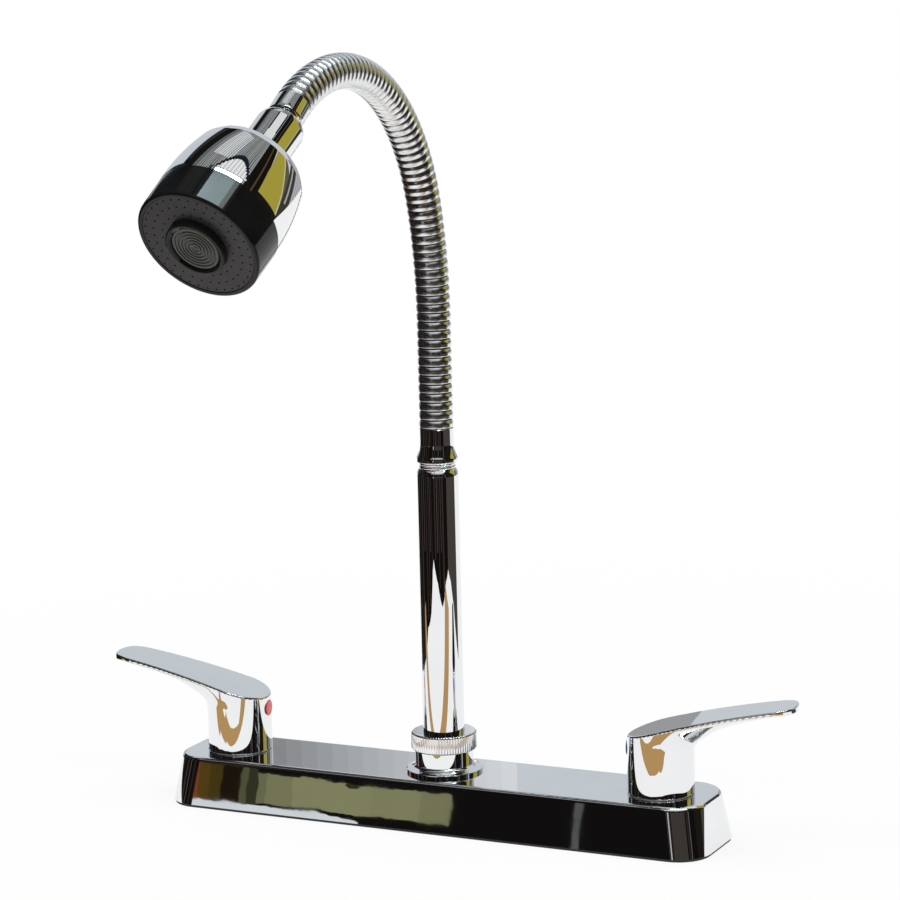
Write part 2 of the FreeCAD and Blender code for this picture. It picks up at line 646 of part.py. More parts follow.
def keel_shape():
    """Everything over the lever's bulging underside: a loft along the lever."""
    high = size["crown_height"] + size["post_radius"]
    wires = []
    for keel in ("keel_inside", "keel_root", "keel_inner", "keel_outer", "keel_tip"):
        reach = size[keel + "_share"] * size["lever_length"]
        half = half_width_at(reach) + size["free_gap"]
        edge = crown_at(reach) - size["rim_height"]
        left, right = FreeCAD.Vector(reach, -half, edge), FreeCAD.Vector(reach, half, edge)
        middle = FreeCAD.Vector(reach, 0, edge - size[keel])
        far_right, far_left = FreeCAD.Vector(reach, half, high), FreeCAD.Vector(reach, -half, high)
        edges = [
            Part.Arc(left, middle, right).toShape(), Part.makeLine(right, far_right),
            Part.makeLine(far_right, far_left), Part.makeLine(far_left, left)]
        wires.append(Part.Wire(edges))
    return Part.makeLoft(wires, True, False)


def lever_plan(side):
    """The arm seen from above, as a tall blank with rounded tip corners."""
    body = doc.addObject("PartDesign::Body", side + "_arm_blank")
    sketch = new_sketch(body, side + "_arm_plan", "XY_Plane", "lever_blank")
    tip = "lever_length - tip_bulge"
    draw_outline(sketch, [
        ("0.1 * post_radius", "-0.99 * post_radius"), (tip, "-0.5 * tip_width", "tip_radius", "left"),
        (tip, "0.5 * tip_width"), ("0.1 * post_radius", "0.99 * post_radius")])
    pad = body.newObject("PartDesign::Pad", side + "_arm_pad")
    pad.Profile = sketch
    pad.setExpression("Length", bound("lever_length"))
    doc.recompute()
    corners = []
    for i, edge in enumerate(pad.Shape.Edges, start=1):
        upright = edge.BoundBox.ZLength > 1 and edge.BoundBox.XLength < 1e-6
        if upright and edge.BoundBox.XMin > number(tip) - 1e-4:
            corners.append("Edge%d" % i)
    fillet = body.newObject("PartDesign::Fillet", side + "_tip_corners")
    fillet.Base = (pad, corners)
    fillet.setExpression("Radius", bound("tip_corner"))
    return body


def make_handle(side, sign, points_to):
    """Lever, spindle, index plug and grub screw, drawn with the lever along +X."""
    here = FreeCAD.Placement(
        FreeCAD.Vector(float(sign) * size["handle_reach"], 0, 0), FreeCAD.Rotation(Z, points_to))
    back = FreeCAD.Vector(-1, 0, 0)
    sideways = here.multiply(FreeCAD.Placement(
        FreeCAD.Vector(0, 0, size["plug_height"]), FreeCAD.Rotation(Z, back)))

    keel = fixed_shape(side + "_keel", keel_shape())
    arm = shared(side + "_arm", [lever_plan(side), keel])
    foot = "cover_top + glide_height"
    post = rod(side + "_post", "post_radius", "crown_height", ("0", "0", foot))
    lever = joined(side + "_post_and_arm", [post, arm])
    dome = rod(side + "_dome", "crown_radius", "4 * post_radius", ("crown_lean", "0 - 2 * post_radius", "0"), Y)
    height = "Params.crown_height - sqrt(Params.crown_radius ^ 2 - Params.crown_lean ^ 2)"
    dome.setExpression("Placement.Base.z", height)
    trimmed = shared(side + "_lever_blank", [lever, dome])
    hub = ("0", "0", "plug_height")
    plug_start = ("plug_depth - post_radius - plug_proud", "0", "plug_height")
    holes = [
        rod(side + "_post_cavity", "post_radius - post_wall", "post_cavity - " + foot.replace("+", "-"),
            ("0", "0", foot)),
        rod(side + "_spindle_hole", "spindle_radius + running_gap", "spindle_top + free_gap - cover_top",
            ("0", "0", "cover_top")),
        rod(side + "_screw_hole", "screw_radius + running_gap", "post_radius", hub, back),
        rod(side + "_plug_hole", "plug_radius + running_gap", "plug_depth", plug_start, back),
    ]
    keep(side + "_lever", cut(side + "_lever_body", trimmed, holes), here)

    drive_foot = "cavity_floor + seal_height + 2 * disc_height"
    shaft = turned(side + "_spindle_blank", [
        ("0", drive_foot), ("disc_radius - free_gap", drive_foot), ("disc_radius - free_gap", DRIVE_TOP),
        ("spindle_radius", DRIVE_TOP), ("spindle_radius", "spindle_top"), ("0", "spindle_top")])
    flat = box(side + "_spindle_flat",
               ("0 - 2 * spindle_radius", "0 - spindle_radius", "plug_height - 2 * screw_radius"),
               ("spindle_radius + flat_depth", "2 * spindle_radius", "spindle_top"))
    keep(side + "_spindle", cut(side + "_spindle_body", shaft, [flat]), here)

    screw_end = "spindle_radius - flat_depth + screw_length"
    screw = turned(side + "_screw", [
        ("0", "spindle_radius - flat_depth"), ("screw_radius", "spindle_radius - flat_depth"),
        ("screw_radius", screw_end), ("0", screw_end)])
    keep(side + "_grub_screw", screw, sideways)

    plug_foot = "post_radius + plug_proud - plug_depth"
    plug_face = "post_radius + plug_proud"
    plug = turned(side + "_plug", [
        ("0", plug_foot), ("plug_radius", plug_foot), ("plug_radius", plug_face), ("0", plug_face)],
        rounds=[(2, "plug_round")])
    keep(side + "_index_plug", plug, sideways)


# Spout foot: socket, flange, knurled nut
def make_spout_foot():
    shoulder = "cover_top - cover_wall"
    bore = "tube_radius + running_gap"
    blank = turned("socket_blank", [
        ("0", "0"), ("foot_radius", "0"), ("foot_radius", "foot_height"), ("socket_radius", "foot_height"),
        ("socket_radius", shoulder), ("stub_radius", shoulder), ("stub_radius", "stub_top"),
        (bore, "stub_top"), (bore, "socket_floor"), ("0", "socket_floor")])
    ports = [
        rod("socket_port_" + side, "waterway_radius + seat_gap", "2 * socket_radius",
            ("0", "0", "waterway_height"), way)
        for side, way in (("cold", X), ("hot", FreeCAD.Vector(-1, 0, 0)))]
    keep("spout_socket", cut("socket", blank, ports))

    thread = "stub_radius + seat_gap"
    flange = turned("flange", [
        (thread, "cover_top"), ("flange_radius", "cover_top"),
        ("flange_radius", "cover_top + flange_rim", "flange_curve", "right"), ("collar_radius", "flange_cone"),
        ("collar_radius", "nut_base"), (thread, "nut_base")])
    keep("spout_flange", flange)

    roof = "stub_top + clip_height + 2 * clip_gap"
    blank = turned("nut_blank", [
        (thread, "nut_base"), ("nut_radius - nut_chamfer", "nut_base"),
        ("nut_radius + nut_chamfer", "nut_base + 2 * nut_chamfer"),
        ("nut_radius + nut_chamfer", "nut_top - 2 * nut_chamfer"), ("nut_radius - nut_chamfer", "nut_top"),
        ("tube_radius + running_gap", "nut_top"), ("tube_radius + running_gap", roof), (thread, roof)])
    corners = []
    for i in range(2 * int(size["knurl_count"])):
        radius = size["nut_radius"] - (size["knurl_depth"] if i % 2 else 0)
        angle = math.pi * i / size["knurl_count"]
        corners.append(FreeCAD.Vector(radius * math.cos(angle), radius * math.sin(angle), size["nut_base"]))
    star = Part.Face(Part.makePolygon(corners + corners[:1]))
    ridges = fixed_shape("knurl", star.extrude(Z * (size["nut_top"] - size["nut_base"])))
    keep("knurled_nut", shared("nut", [blank, ridges]))


# Upright tube and what is fixed to it
def make_upright():
    turn = FreeCAD.Placement(ORIGIN, FreeCAD.Rotation(Z, size["spout_heading"]))
    groove = "tube_radius - ring_groove"
    outline = [("tube_bore", "tube_foot"), ("tube_radius", "tube_foot")]
    for low in ("ring_low", "ring_low + ring_step"):
        outline += [("tube_radius", low), (groove, low), (groove, low + " + ring_height"),
                    ("tube_radius", low + " + ring_height")]
    slot = "tube_radius - clip_groove"
    slot_top = "stub_top + clip_height + clip_gap"
    outline += [
        ("tube_radius", "stub_top"), (slot, "stub_top"), (slot, slot_top), ("tube_radius", slot_top),
        ("tube_radius", "tube_top - tube_shoulder_height", "tube_shoulder_curve", "left"),
        ("tube_radius - tube_shoulder", "tube_top"), ("tube_bore", "tube_top")]
    keep("standpipe", turned("tube", outline), turn)

    rings = []
    for i, low in enumerate(("ring_low", "ring_low + ring_step")):
        rings.append(turned("tube_ring_%d" % i, [
            (groove, low), ("tube_radius", low), ("tube_radius", low + " + ring_height"),
            (groove, low + " + ring_height")]))
    pair = doc.addObject("Part::Compound", "tube_rings")
    pair.Links = rings
    keep("standpipe_o_rings", pair, turn)

    inner = slot + " + running_gap"
    clip_top = "stub_top + clip_height"
    clip = turned("clip_blank", [
        (inner, "stub_top"), ("stub_radius - free_gap", "stub_top"), ("stub_radius - free_gap", clip_top),
        (inner, clip_top)])
    slit = box("clip_slit_block", ("0", "-0.5 * clip_slit", "stub_top"),
               ("2 * tube_radius", "clip_slit", "2 * clip_height"))
    keep("retaining_ring", cut("clip", clip, [slit]), turn)

    bore = "spigot_radius + seat_gap"
    beads = turned("beads", [
        (bore, "tube_top"), ("bead_root", "tube_top", "bead_curve", "left"),
        ("bead_root", "tube_top + 0.5 * bead_height", "bead_curve", "left"),
        ("bead_root", "tube_top + bead_height"), (bore, "tube_top + bead_height")])
    keep("joint_washer", beads, turn)

    low = "tube_top + bead_height"
    ferrule = turned("ferrule", [
        ("hose_bore", "tube_top - spigot_length"), ("spigot_radius", "tube_top - spigot_length"),
        ("spigot_radius", low), ("bell_radius", low), ("bell_radius", low + " + bell_rim", "bell_curve", "right"),
        ("rib_radius", low + " + bell_height"), ("rib_radius", low + " + ferrule_height"),
        ("hose_bore", low + " + ferrule_height")])
    keep("lower_ferrule", ferrule, turn)


# Gooseneck: a steady plane, turned a little about the upright tube
ACROSS = FreeCAD.Rotation(Z, size["spout_heading"]).multVec(X)
FORWARD = FreeCAD.Rotation(Z, size["spout_heading"]).multVec(-Y)
ROUTE_START = number("tube_top + bead_height + ferrule_height")
STRETCHES = (
    (size["route_rise"], None),
    (size["first_bend_radius"] * math.radians(size["first_bend"]), size["first_bend_radius"]),
    (size["main_bend_radius"] * math.radians(size["main_bend"]), size["main_bend_radius"]),
)
ROUTE_LENGTH = sum(length for length, radius in STRETCHES)


def route_at(distance):
    """Place on the hose's middle line: Z along the hose, X across the bend."""
    ahead, up, lean = 0.0, ROUTE_START, 0.0
    left = distance
    for length, radius in STRETCHES:
        step = left if length is STRETCHES[-1][0] else min(left, length)
        if radius is None:
            up += step
        elif step > 0:
            bend = step / radius
            ahead += radius * (math.cos(lean) - math.cos(lean + bend))
            up += radius * (math.sin(lean + bend) - math.sin(lean))
            lean += bend
        left -= step
        if left <= 0:
            break
    along = Z * math.cos(lean) + FORWARD * math.sin(lean)
    rotation = FreeCAD.Rotation(ACROSS, along.cross(ACROSS), along, "ZXY")
    return FreeCAD.Placement(FORWARD * ahead + Z * up, rotation)


def hoop(distance, radius):
    """A circle round the hose, its start always on the same side."""
    edge = Part.makeCircle(radius)
    edge.Placement = route_at(distance)
    return Part.Wire([edge])


def hose_piece(start, end, rings):
    """Solid through circles (distance, radius), with the hose's bore through it."""
    outside = Part.makeLoft([hoop(distance, radius) for distance, radius in rings], True, True)
    pitch = rib_pitch()
    steps = max(1, round((end - start) / pitch))
    stations = [start + (end - start) * i / steps for i in range(steps + 1)]
    inside = Part.makeLoft([hoop(distance, size["hose_bore"]) for distance in stations], True, True)
    return outside.cut(inside)


def rib_pitch():
    ribbed = ROUTE_LENGTH - size["upper_ferrule_length"]
    return ribbed / (size["section_count"] * size["ribs_per_section"])


def make_gooseneck():
    pitch = rib_pitch()
    crest = size["rib_radius"]
    root = crest - size["rib_groove"]
    profile = (
        (0.0, crest - size["rib_slope"]), (size["rib_face_share"], crest),
        (size["rib_edge_share"], root), (size["rib_floor_share"], root))
    ribs = int(size["ribs_per_section"])
    for section in range(int(size["section_count"])):
        start = section * ribs * pitch
        rings = [
            (start + (rib + share) * pitch, radius)
            for rib in range(ribs) for share, radius in profile]
        end = start + ribs * pitch
        rings.append((end, profile[0][1]))
        shape = hose_piece(start, end, rings)
        keep("gooseneck_%d" % (section + 1), fixed_shape("hose_%d" % (section + 1), shape))

    ribbed = ROUTE_LENGTH - size["upper_ferrule_length"]
    steps = 3
    rings = [(ribbed + size["upper_ferrule_length"] * i / steps, crest) for i in range(steps + 1)]
    keep("upper_ferrule", fixed_shape("ferrule_end", hose_piece(ribbed, ROUTE_LENGTH, rings)))

    # The water hose inside, from the lower ferrule to the ball stem
    foot = number("tube_top - spigot_length + pipe_end")
    points = [FreeCAD.Vector(0, 0, foot), route_at(0).Base]
    edges = [Part.makeLine(points[0], route_at(size["route_rise"]).Base)]
    first = STRETCHES[0][0] + STRETCHES[1][0]
    last = ROUTE_LENGTH - size["stem_spigot_length"] - size["pipe_end"]
    for begin, end in ((STRETCHES[0][0], first), (first, last)):
        places = [route_at(begin + (end - begin) * share).Base for share in (0, 0.5, 1)]
        edges.append(Part.Arc(*places).toShape())
    path = Part.Wire(edges)
    tubes = []
    for radius in ("inner_hose_radius", "inner_hose_bore"):
        ring = Part.makeCircle(size[radius])
        ring.Placement = FreeCAD.Placement(points[0], route_at(0).Rotation)
        tubes.append(path.makePipeShell([Part.Wire([ring])], True, False))
    keep("inner_hose", fixed_shape("water_hose", tubes[0].cut(tubes[1])))


# Swivel between hose and head, drawn along +Z from the ball's centre
END = route_at(ROUTE_LENGTH)
NECK = END.multiply(FreeCAD.Placement(Z * size["pivot_reach"], FreeCAD.Rotation()))
HEAD = NECK.multiply(FreeCAD.Placement(ORIGIN, FreeCAD.Rotation(Y, size["head_turn"])))
ROCKER = HEAD.multiply(FreeCAD.Placement(ORIGIN, FreeCAD.Rotation(Z, size["rocker_turn"])))


def make_swivel():
    stem = turned("stem_blank", [
        ("0", "0 - pivot_reach - stem_spigot_length"), ("stem_spigot", "0 - pivot_reach - stem_spigot_length"),
        ("stem_spigot", "0 - pivot_reach"), ("stem_radius", "0 - pivot_reach"), ("stem_radius", "0"), ("0", "0")])
    whole = joined("stem_and_ball", [stem, ball("ball_blank", "ball_radius")])
    water = rod("stem_water", "stem_bore", "4 * ball_radius", ("0", "0", "0 - 2 * ball_radius"))
    end = rod("ball_end", "ball_radius", "ball_radius", ("0", "0", "ball_bottom"))
    keep("ball_stem", cut("stem", whole, [water, end]), NECK)

    inner = "ball_radius + running_gap"
    shell = cut("liner_shell", ball("liner_outside", "liner_radius"), [ball("liner_inside", inner)])
    band = rod("liner_band", "2 * liner_radius", "liner_top + liner_bottom", ("0", "0", "0 - liner_top"))
    keep("socket_liner", shared("liner", [shell, band]), NECK)

    flange_top = "head_back + cup_depth + land_height + running_gap"
    groove_low = flange_top + " + 0.5 * neck_flange_height - 0.5 * flange_ring_height"
    groove = "neck_flange_radius - flange_groove"
    blank = turned("collar_blank", [
        ("0", "0 - neck_top"), ("neck_radius - neck_shoulder_draw", "0 - neck_top"),
        ("neck_radius", "neck_shoulder - neck_top"), ("neck_radius", flange_top),
        ("neck_flange_radius", flange_top), ("neck_flange_radius", groove_low), (groove, groove_low),
        (groove, groove_low + " + flange_ring_height"),
        ("neck_flange_radius", groove_low + " + flange_ring_height"),
        ("neck_flange_radius", flange_top + " + neck_flange_height"),
        ("0", flange_top + " + neck_flange_height")],
        rounds=[(1, "neck_round")])
    cavity = "liner_radius + running_gap"
    hollow = [
        ball("collar_ball", cavity), rod("collar_bore", cavity, "2 * head_back"),
        rod("collar_mouth", "neck_mouth", "ball_radius", ("0", "0", "0 - ball_radius"))]
    keep("swivel_collar", cut("collar", blank, hollow), HEAD)

    seat_end = "ball_seat_top + ball_seat_height"
    seat = turned("seat_blank", [
        ("ball_seat_bore", "ball_seat_top"), ("liner_radius", "ball_seat_top"), ("liner_radius", seat_end),
        ("ball_seat_bore", seat_end)])
    keep("ball_seat", cut("seat", seat, [ball("seat_ball", inner)]), HEAD)

    ring = turned("collar_ring", [
        (groove, groove_low), ("neck_flange_radius + free_gap", groove_low),
        ("neck_flange_radius + free_gap", groove_low + " + flange_ring_height"),
        (groove, groove_low + " + flange_ring_height")])
    keep("collar_o_ring", ring, HEAD)


# Spray head
def shell_outline(extra=None):
    """Half outline of the head's rounded side, closed on its axis, grown by an extra distance."""
    more = " + " + extra if extra else ""
    shoulder = "head_back + bell_shoulder_depth"
    return [
        ("0", "head_back"), ("back_radius" + more, "head_back"),
        ("bell_shoulder" + more, shoulder, "head_curve", "left"),
        ("head_radius" + more, "bell_front"), ("0", "bell_front")]


def make_head_shell():
    land = "head_back + cup_depth"
    inside_back = "head_back + head_wall"
    shoulder = "head_back + bell_shoulder_depth"
    cup = "lip_mouth + head_wall"
    lip = "head_back - lip_rise"
    step = "lip_step_height"
    blank = turned("shell_blank", [
        ("neck_radius + running_gap", land), ("neck_radius + running_gap", land + " + land_height"),
        (cup, land + " + land_height"), (cup, inside_back), ("back_radius - head_wall", inside_back),
        ("bell_shoulder - head_wall", shoulder, "head_curve", "left"),
        ("head_radius - head_wall", "bell_front"),
        ("head_radius", "bell_front", "head_curve", "right"),
        ("bell_shoulder", shoulder), ("back_radius", "head_back"), ("lip_radius", "head_back"),
        ("lip_radius", "head_back - " + step), ("lip_radius - lip_step", "head_back - " + step),
        ("lip_radius - lip_step", "head_back - 2 * " + step),
        ("lip_radius - 2 * lip_step", "head_back - 2 * " + step), ("lip_radius - 2 * lip_step", lip),
        ("lip_mouth", lip), ("lip_mouth", land)],
        rounds=[(9, "back_round")])
    keep("head_housing", cut("shell", blank, [stadium("rocker_slot", "rocker_gap")]), ROCKER)


def stadium(name, margin=None):
    """The rocker's rounded outline as a tall block standing on its underside, towards +Y."""
    more = " + " + margin if margin else ""
    twice = " + 2 * " + margin if margin else ""
    reach = "0.5 * rocker_length - 0.5 * rocker_width"
    radius = "0.5 * rocker_width" + more
    ends = [
        rod("%s_end_%d" % (name, i), radius, "head_radius", (x, "rocker_floor", "rocker_place"), Y)
        for i, x in enumerate((reach, "0.5 * rocker_width - 0.5 * rocker_length"))]
    low = "rocker_place - 0.5 * rocker_width" + (" - " + margin if margin else "")
    middle = box(name + "_middle", ("0.5 * rocker_width - 0.5 * rocker_length", "rocker_floor", low),
                 ("rocker_length - rocker_width", "head_radius", "rocker_width" + twice))
    return joined(name, ends + [middle])


def make_rocker():
    grown = turned("rocker_outside", shell_outline("rocker_proud"))
    pads = shared("rocker_pads", [stadium("rocker_block"), grown])
    dip = "rocker_proud - rocker_dip"
    lowered = turned("rocker_inside", shell_outline(dip))
    slab = box("rocker_slab", ("-0.5 * rocker_middle", "rocker_floor", "head_back"),
               ("rocker_middle", "head_radius", "rocker_length"))
    hollow = cut("rocker_hollow", slab, [lowered])
    pin_hole = rod("rocker_pin_hole", "rocker_pin_radius + running_gap", "bell_front",
                   ("0", "rocker_pin_reach", "0"))
    keep("rocker_switch", cut("rocker", pads, [hollow, pin_hole]), ROCKER)

    ears = ear_heights()
    pin = turned("pin", [
        ("0", ears[0]), ("rocker_pin_radius", ears[0]), ("rocker_pin_radius", ears[1] + " + rocker_ear"),
        ("0", ears[1] + " + rocker_ear")])
    reach = FreeCAD.Placement(Y * size["rocker_pin_reach"], FreeCAD.Rotation())
    keep("rocker_pin", pin, ROCKER.multiply(reach))

    peg = turned("cam", [
        ("0", "cam_reach"), ("cam_radius", "cam_reach"), ("cam_radius", "rocker_floor"),
        ("0", "rocker_floor")])
    inwards = FreeCAD.Placement(Z * size["rocker_place"], FreeCAD.Rotation(Z, Y))
    keep("diverter_cam", peg, ROCKER.multiply(inwards))


def ear_heights():
    """Lower edges of the two ears that hold the rocker's pin."""
    return (
        "rocker_place - 0.5 * rocker_width - free_gap - rocker_ear",
        "rocker_place + 0.5 * rocker_width + free_gap")


def make_head_inside():
    cup_top = "head_back + cup_depth + land_height"
    web = cup_top + " + running_gap + neck_flange_height + running_gap"
    tube = "manifold_bore + manifold_tube_wall"
    plate_end = "bell_front - face_skirt"
    blank = turned("manifold_blank", [
        ("manifold_cup - manifold_wall", cup_top), ("manifold_cup", cup_top),
        ("manifold_cup", web + " + manifold_web"), (tube, web + " + manifold_web"),
        (tube, plate_end + " - manifold_plate"), ("manifold_rim", plate_end + " - manifold_plate"),
        ("manifold_rim", plate_end), (tube, plate_end), (tube, "manifold_front"),
        ("manifold_bore", "manifold_front"), ("manifold_bore", web), ("manifold_cup - manifold_wall", web)])
    ears = []
    roots = (
        ("manifold_cup - 0.5 * manifold_wall", "rocker_ear_reach - manifold_cup + 0.5 * manifold_wall"),
        ("manifold_bore + 0.5 * manifold_tube_wall",
         "rocker_ear_reach - manifold_bore - 0.5 * manifold_tube_wall"))
    for i, (low, (root, length)) in enumerate(zip(ear_heights(), roots)):
        ears.append(box("ear_%d" % i, ("-0.5 * rocker_ear_width", root, low),
                        ("rocker_ear_width", length, "rocker_ear")))
    holes = rod("ear_holes", "rocker_pin_radius", "bell_front", ("0", "rocker_pin_reach", "0"))
    keep("head_manifold", cut("manifold", joined("manifold_and_ears", [blank] + ears), [holes]), ROCKER)

    skirt = "bell_front - face_skirt"
    seat = "face_front - plate_depth - plate_height"
    inner = "head_radius - face_draw - face_wall"
    ledge = inner + " - face_ledge"
    ring = turned("ring", [
        (ledge, skirt), ("head_radius - head_wall - seat_gap", skirt),
        ("head_radius - head_wall - seat_gap", "bell_front"), ("head_radius", "bell_front"),
        ("head_radius - face_draw", "face_front"), (inner, "face_front"), (inner, seat), (ledge, seat)],
        rounds=[(4, "face_round")])
    keep("face_ring", ring, HEAD)

    plate = turned("plate", [
        ("aerator_radius + seat_gap", seat), (inner + " - seat_gap", seat),
        (inner + " - seat_gap", seat + " + plate_height"),
        ("aerator_radius + seat_gap", seat + " + plate_height")])
    keep("spray_plate", plate, HEAD)

    insert_seat = "aerator_front - insert_depth - insert_height"
    low = "aerator_front - aerator_depth"
    aerator = turned("aerator", [
        (tube + " + seat_gap", low), ("aerator_radius", low), ("aerator_radius", "aerator_front"),
        ("insert_radius + seat_gap", "aerator_front"), ("insert_radius + seat_gap", insert_seat),
        (tube + " + seat_gap", insert_seat)],
        rounds=[(2, "aerator_round")])
    keep("aerator_ring", aerator, HEAD)

    face = "aerator_front - insert_depth"
    outline = [("0", insert_seat), ("insert_radius", insert_seat), ("insert_radius", face)]
    floor = face + " - insert_ridge"
    rings = int(size["insert_rings"])
    for ring in range(rings, 0, -1):
        outside = "%.4f * insert_radius" % ((ring + 0.5) / (rings + 1))
        inside = "%.4f * insert_radius" % (ring / (rings + 1))
        outline += [(outside, face), (outside, floor), (inside, floor), (inside, face)]
    outline.append(("0", face))
    keep("aerator_insert", turned("insert", outline), HEAD)


def check_and_write():
    doc.recompute()
    os.makedirs("parts", exist_ok=True)
    for item in doc.Objects:
        if "Invalid" in item.State or "Error" in item.State:
            raise RuntimeError("%s failed: %s" % (item.Name, item.State))
    for item in parts:
        shape = item.Shape
        if shape.isNull() or not shape.isValid() or not shape.Solids:
            raise RuntimeError("%s has a bad shape" % item.Label)
        shape.exportStep("parts/%s.step" % item.Label)


make_base()
for side, sign in (("hot", "-1"), ("cold", "1")):
    make_valve(side, sign)
make_handle("hot", "-1", HALF_TURN + size["hot_swing"])
make_handle("cold", "1", size["cold_swing"])
make_shank_hardware()
make_spout_foot()
make_upright()
make_gooseneck()
make_swivel()
make_head_shell()
make_rocker()
make_head_inside()
check_and_write()
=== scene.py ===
import itertools
import json
import math

import bmesh
import bpy
import numpy as np
from mathutils import Matrix, Vector


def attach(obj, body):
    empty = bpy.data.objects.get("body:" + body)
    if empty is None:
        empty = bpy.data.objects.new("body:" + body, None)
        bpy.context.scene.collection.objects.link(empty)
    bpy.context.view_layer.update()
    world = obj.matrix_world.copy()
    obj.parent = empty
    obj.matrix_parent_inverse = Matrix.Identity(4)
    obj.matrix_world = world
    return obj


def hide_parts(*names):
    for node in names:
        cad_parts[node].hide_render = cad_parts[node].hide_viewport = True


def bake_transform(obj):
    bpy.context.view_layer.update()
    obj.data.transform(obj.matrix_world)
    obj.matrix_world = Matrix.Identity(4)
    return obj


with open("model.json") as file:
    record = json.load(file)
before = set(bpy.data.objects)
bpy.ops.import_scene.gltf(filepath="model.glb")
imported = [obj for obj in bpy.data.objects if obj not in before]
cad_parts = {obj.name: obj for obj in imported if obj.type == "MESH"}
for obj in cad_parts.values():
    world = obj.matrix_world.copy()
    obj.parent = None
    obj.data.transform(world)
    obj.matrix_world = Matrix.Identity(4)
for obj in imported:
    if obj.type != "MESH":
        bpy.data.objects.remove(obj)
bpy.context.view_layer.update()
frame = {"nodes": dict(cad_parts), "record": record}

MM = 0.001
UP = Vector((0, 0, 1))

# Every size below is in millimetres and every angle in degrees, unless its name says otherwise.
# Camera, worked out once from the photograph; the target is seen at the target pixel
IMAGE_SIZE = 900
FOCAL_PIXELS = 3372.2
SENSOR = 36.0
CAMERA_AZIMUTH = 25.85
CAMERA_ELEVATION = 10.155
CAMERA_ROLL = 1.383
CAMERA_DISTANCE = 1447.3
TARGET = (0.0, 0.0, 150.0)
TARGET_PIXEL = (437.74, 480.99)


def spin(angle, axis):
    return Matrix.Rotation(math.radians(angle), 4, axis)


def make_camera():
    turn = spin(CAMERA_AZIMUTH, "Z") @ spin(90 - CAMERA_ELEVATION, "X") @ spin(-CAMERA_ROLL, "Z")
    per_pixel = CAMERA_DISTANCE / FOCAL_PIXELS
    shift_right = (TARGET_PIXEL[0] - 0.5 * IMAGE_SIZE) * per_pixel
    shift_up = (0.5 * IMAGE_SIZE - TARGET_PIXEL[1]) * per_pixel
    place = Vector(TARGET) + turn.to_3x3() @ Vector((-shift_right, -shift_up, CAMERA_DISTANCE))
    data = bpy.data.cameras.new("photo_camera")
    data.lens = FOCAL_PIXELS / IMAGE_SIZE * SENSOR
    data.sensor_width = SENSOR
    data.clip_start, data.clip_end = 0.05, 20
    camera = add_object("photo_camera", data)
    camera.matrix_world = Matrix.Translation(place * MM) @ turn
    bpy.context.scene.camera = camera


# Helpers for places and meshes
def circle(radius, count):
    """Evenly spaced (x, y) points of a circle about the origin."""
    angles = [2 * math.pi * i / count for i in range(count)]
    return [(radius * math.cos(angle), radius * math.sin(angle)) for angle in angles]


def add_object(name, data):
    item = bpy.data.objects.new(name, data)
    bpy.context.scene.collection.objects.link(item)
    return item


def new_piece(name, vertices, faces, matrix=Matrix.Identity(4), sharp=35.0):
    """A mesh object from points in millimetres, smooth but for edges sharper than an angle."""
    mesh = bpy.data.meshes.new(name)
    mesh.from_pydata([(matrix @ Vector(point)) * MM for point in vertices], [], faces)
    mesh.validate()
    finish_mesh(mesh, sharp)
    return add_object(name, mesh)


def built_piece(name, build, sharp):
    mesh = bpy.data.meshes.new(name)
    build.to_mesh(mesh)
    build.free()
    finish_mesh(mesh, sharp)
    return add_object(name, mesh)


def finish_mesh(mesh, sharp):
    """Joins equal points, turns the faces outwards and marks the edges sharper than an angle."""
    build = bmesh.new()
    build.from_mesh(mesh)
    bmesh.ops.remove_doubles(build, verts=build.verts, dist=1e-7)
    bmesh.ops.dissolve_degenerate(build, edges=build.edges, dist=1e-8)
    bmesh.ops.recalc_face_normals(build, faces=build.faces)
    limit = math.radians(sharp)
    for edge in build.edges:
        edge.smooth = not (edge.is_manifold and edge.calc_face_angle(0) > limit)
    for face in build.faces:
        face.smooth = True
    build.to_mesh(mesh)
    build.free()


def fill_between(build, loops):
    """Faces between loops of points that lie in one plane."""
    edges = []
    for loop in loops:
        edges += [build.edges.get(pair) or build.edges.new(pair) for pair in zip(loop, loop[1:] + loop[:1])]
    bmesh.ops.triangle_fill(build, use_beauty=True, edges=edges)


def rounded(corners, steps=5):
    """A polyline through (x, y) or (x, y, radius) corners, rounded at those with a radius."""
    line = []
    count = len(corners)
    for i, corner in enumerate(corners):
        here = Vector(corner[:2])
        if len(corner) < 3 or not corner[2]:
            line.append(here)
            continue
        before, after = Vector(corners[i - 1][:2]), Vector(corners[(i + 1) % count][:2])
        one, two = (before - here).normalized(), (after - here).normalized()
        half = 0.5 * one.angle(two)
        radius = corner[2]
        run = min(radius / math.tan(half), 0.499 * (before - here).length, 0.499 * (after - here).length)
        radius = run * math.tan(half)
        centre = here + (one + two).normalized() * (radius / math.sin(half))
        start, end = here + one * run - centre, here + two * run - centre
        sweep = start.angle_signed(end)
        for step in range(steps + 1):
            turned = start.copy()
            turned.rotate(Matrix.Rotation(-sweep * step / steps, 2))
            line.append(centre + turned)
    return line


def arc(centre, radius, first, sweep, steps):
    """Points (x, y) of an arc, its angles in radians."""
    angles = [first + sweep * step / steps for step in range(steps + 1)]
    return [(centre[0] + radius * math.cos(angle), centre[1] + radius * math.sin(angle)) for angle in angles]


def bulge_centre(start, end, radius, left):
    half = (end - start) * 0.5
    across = Vector((-half.y, half.x)).normalized() * (1 if left else -1)
    return start + half + across * math.sqrt(max(radius ** 2 - half.length ** 2, 0))


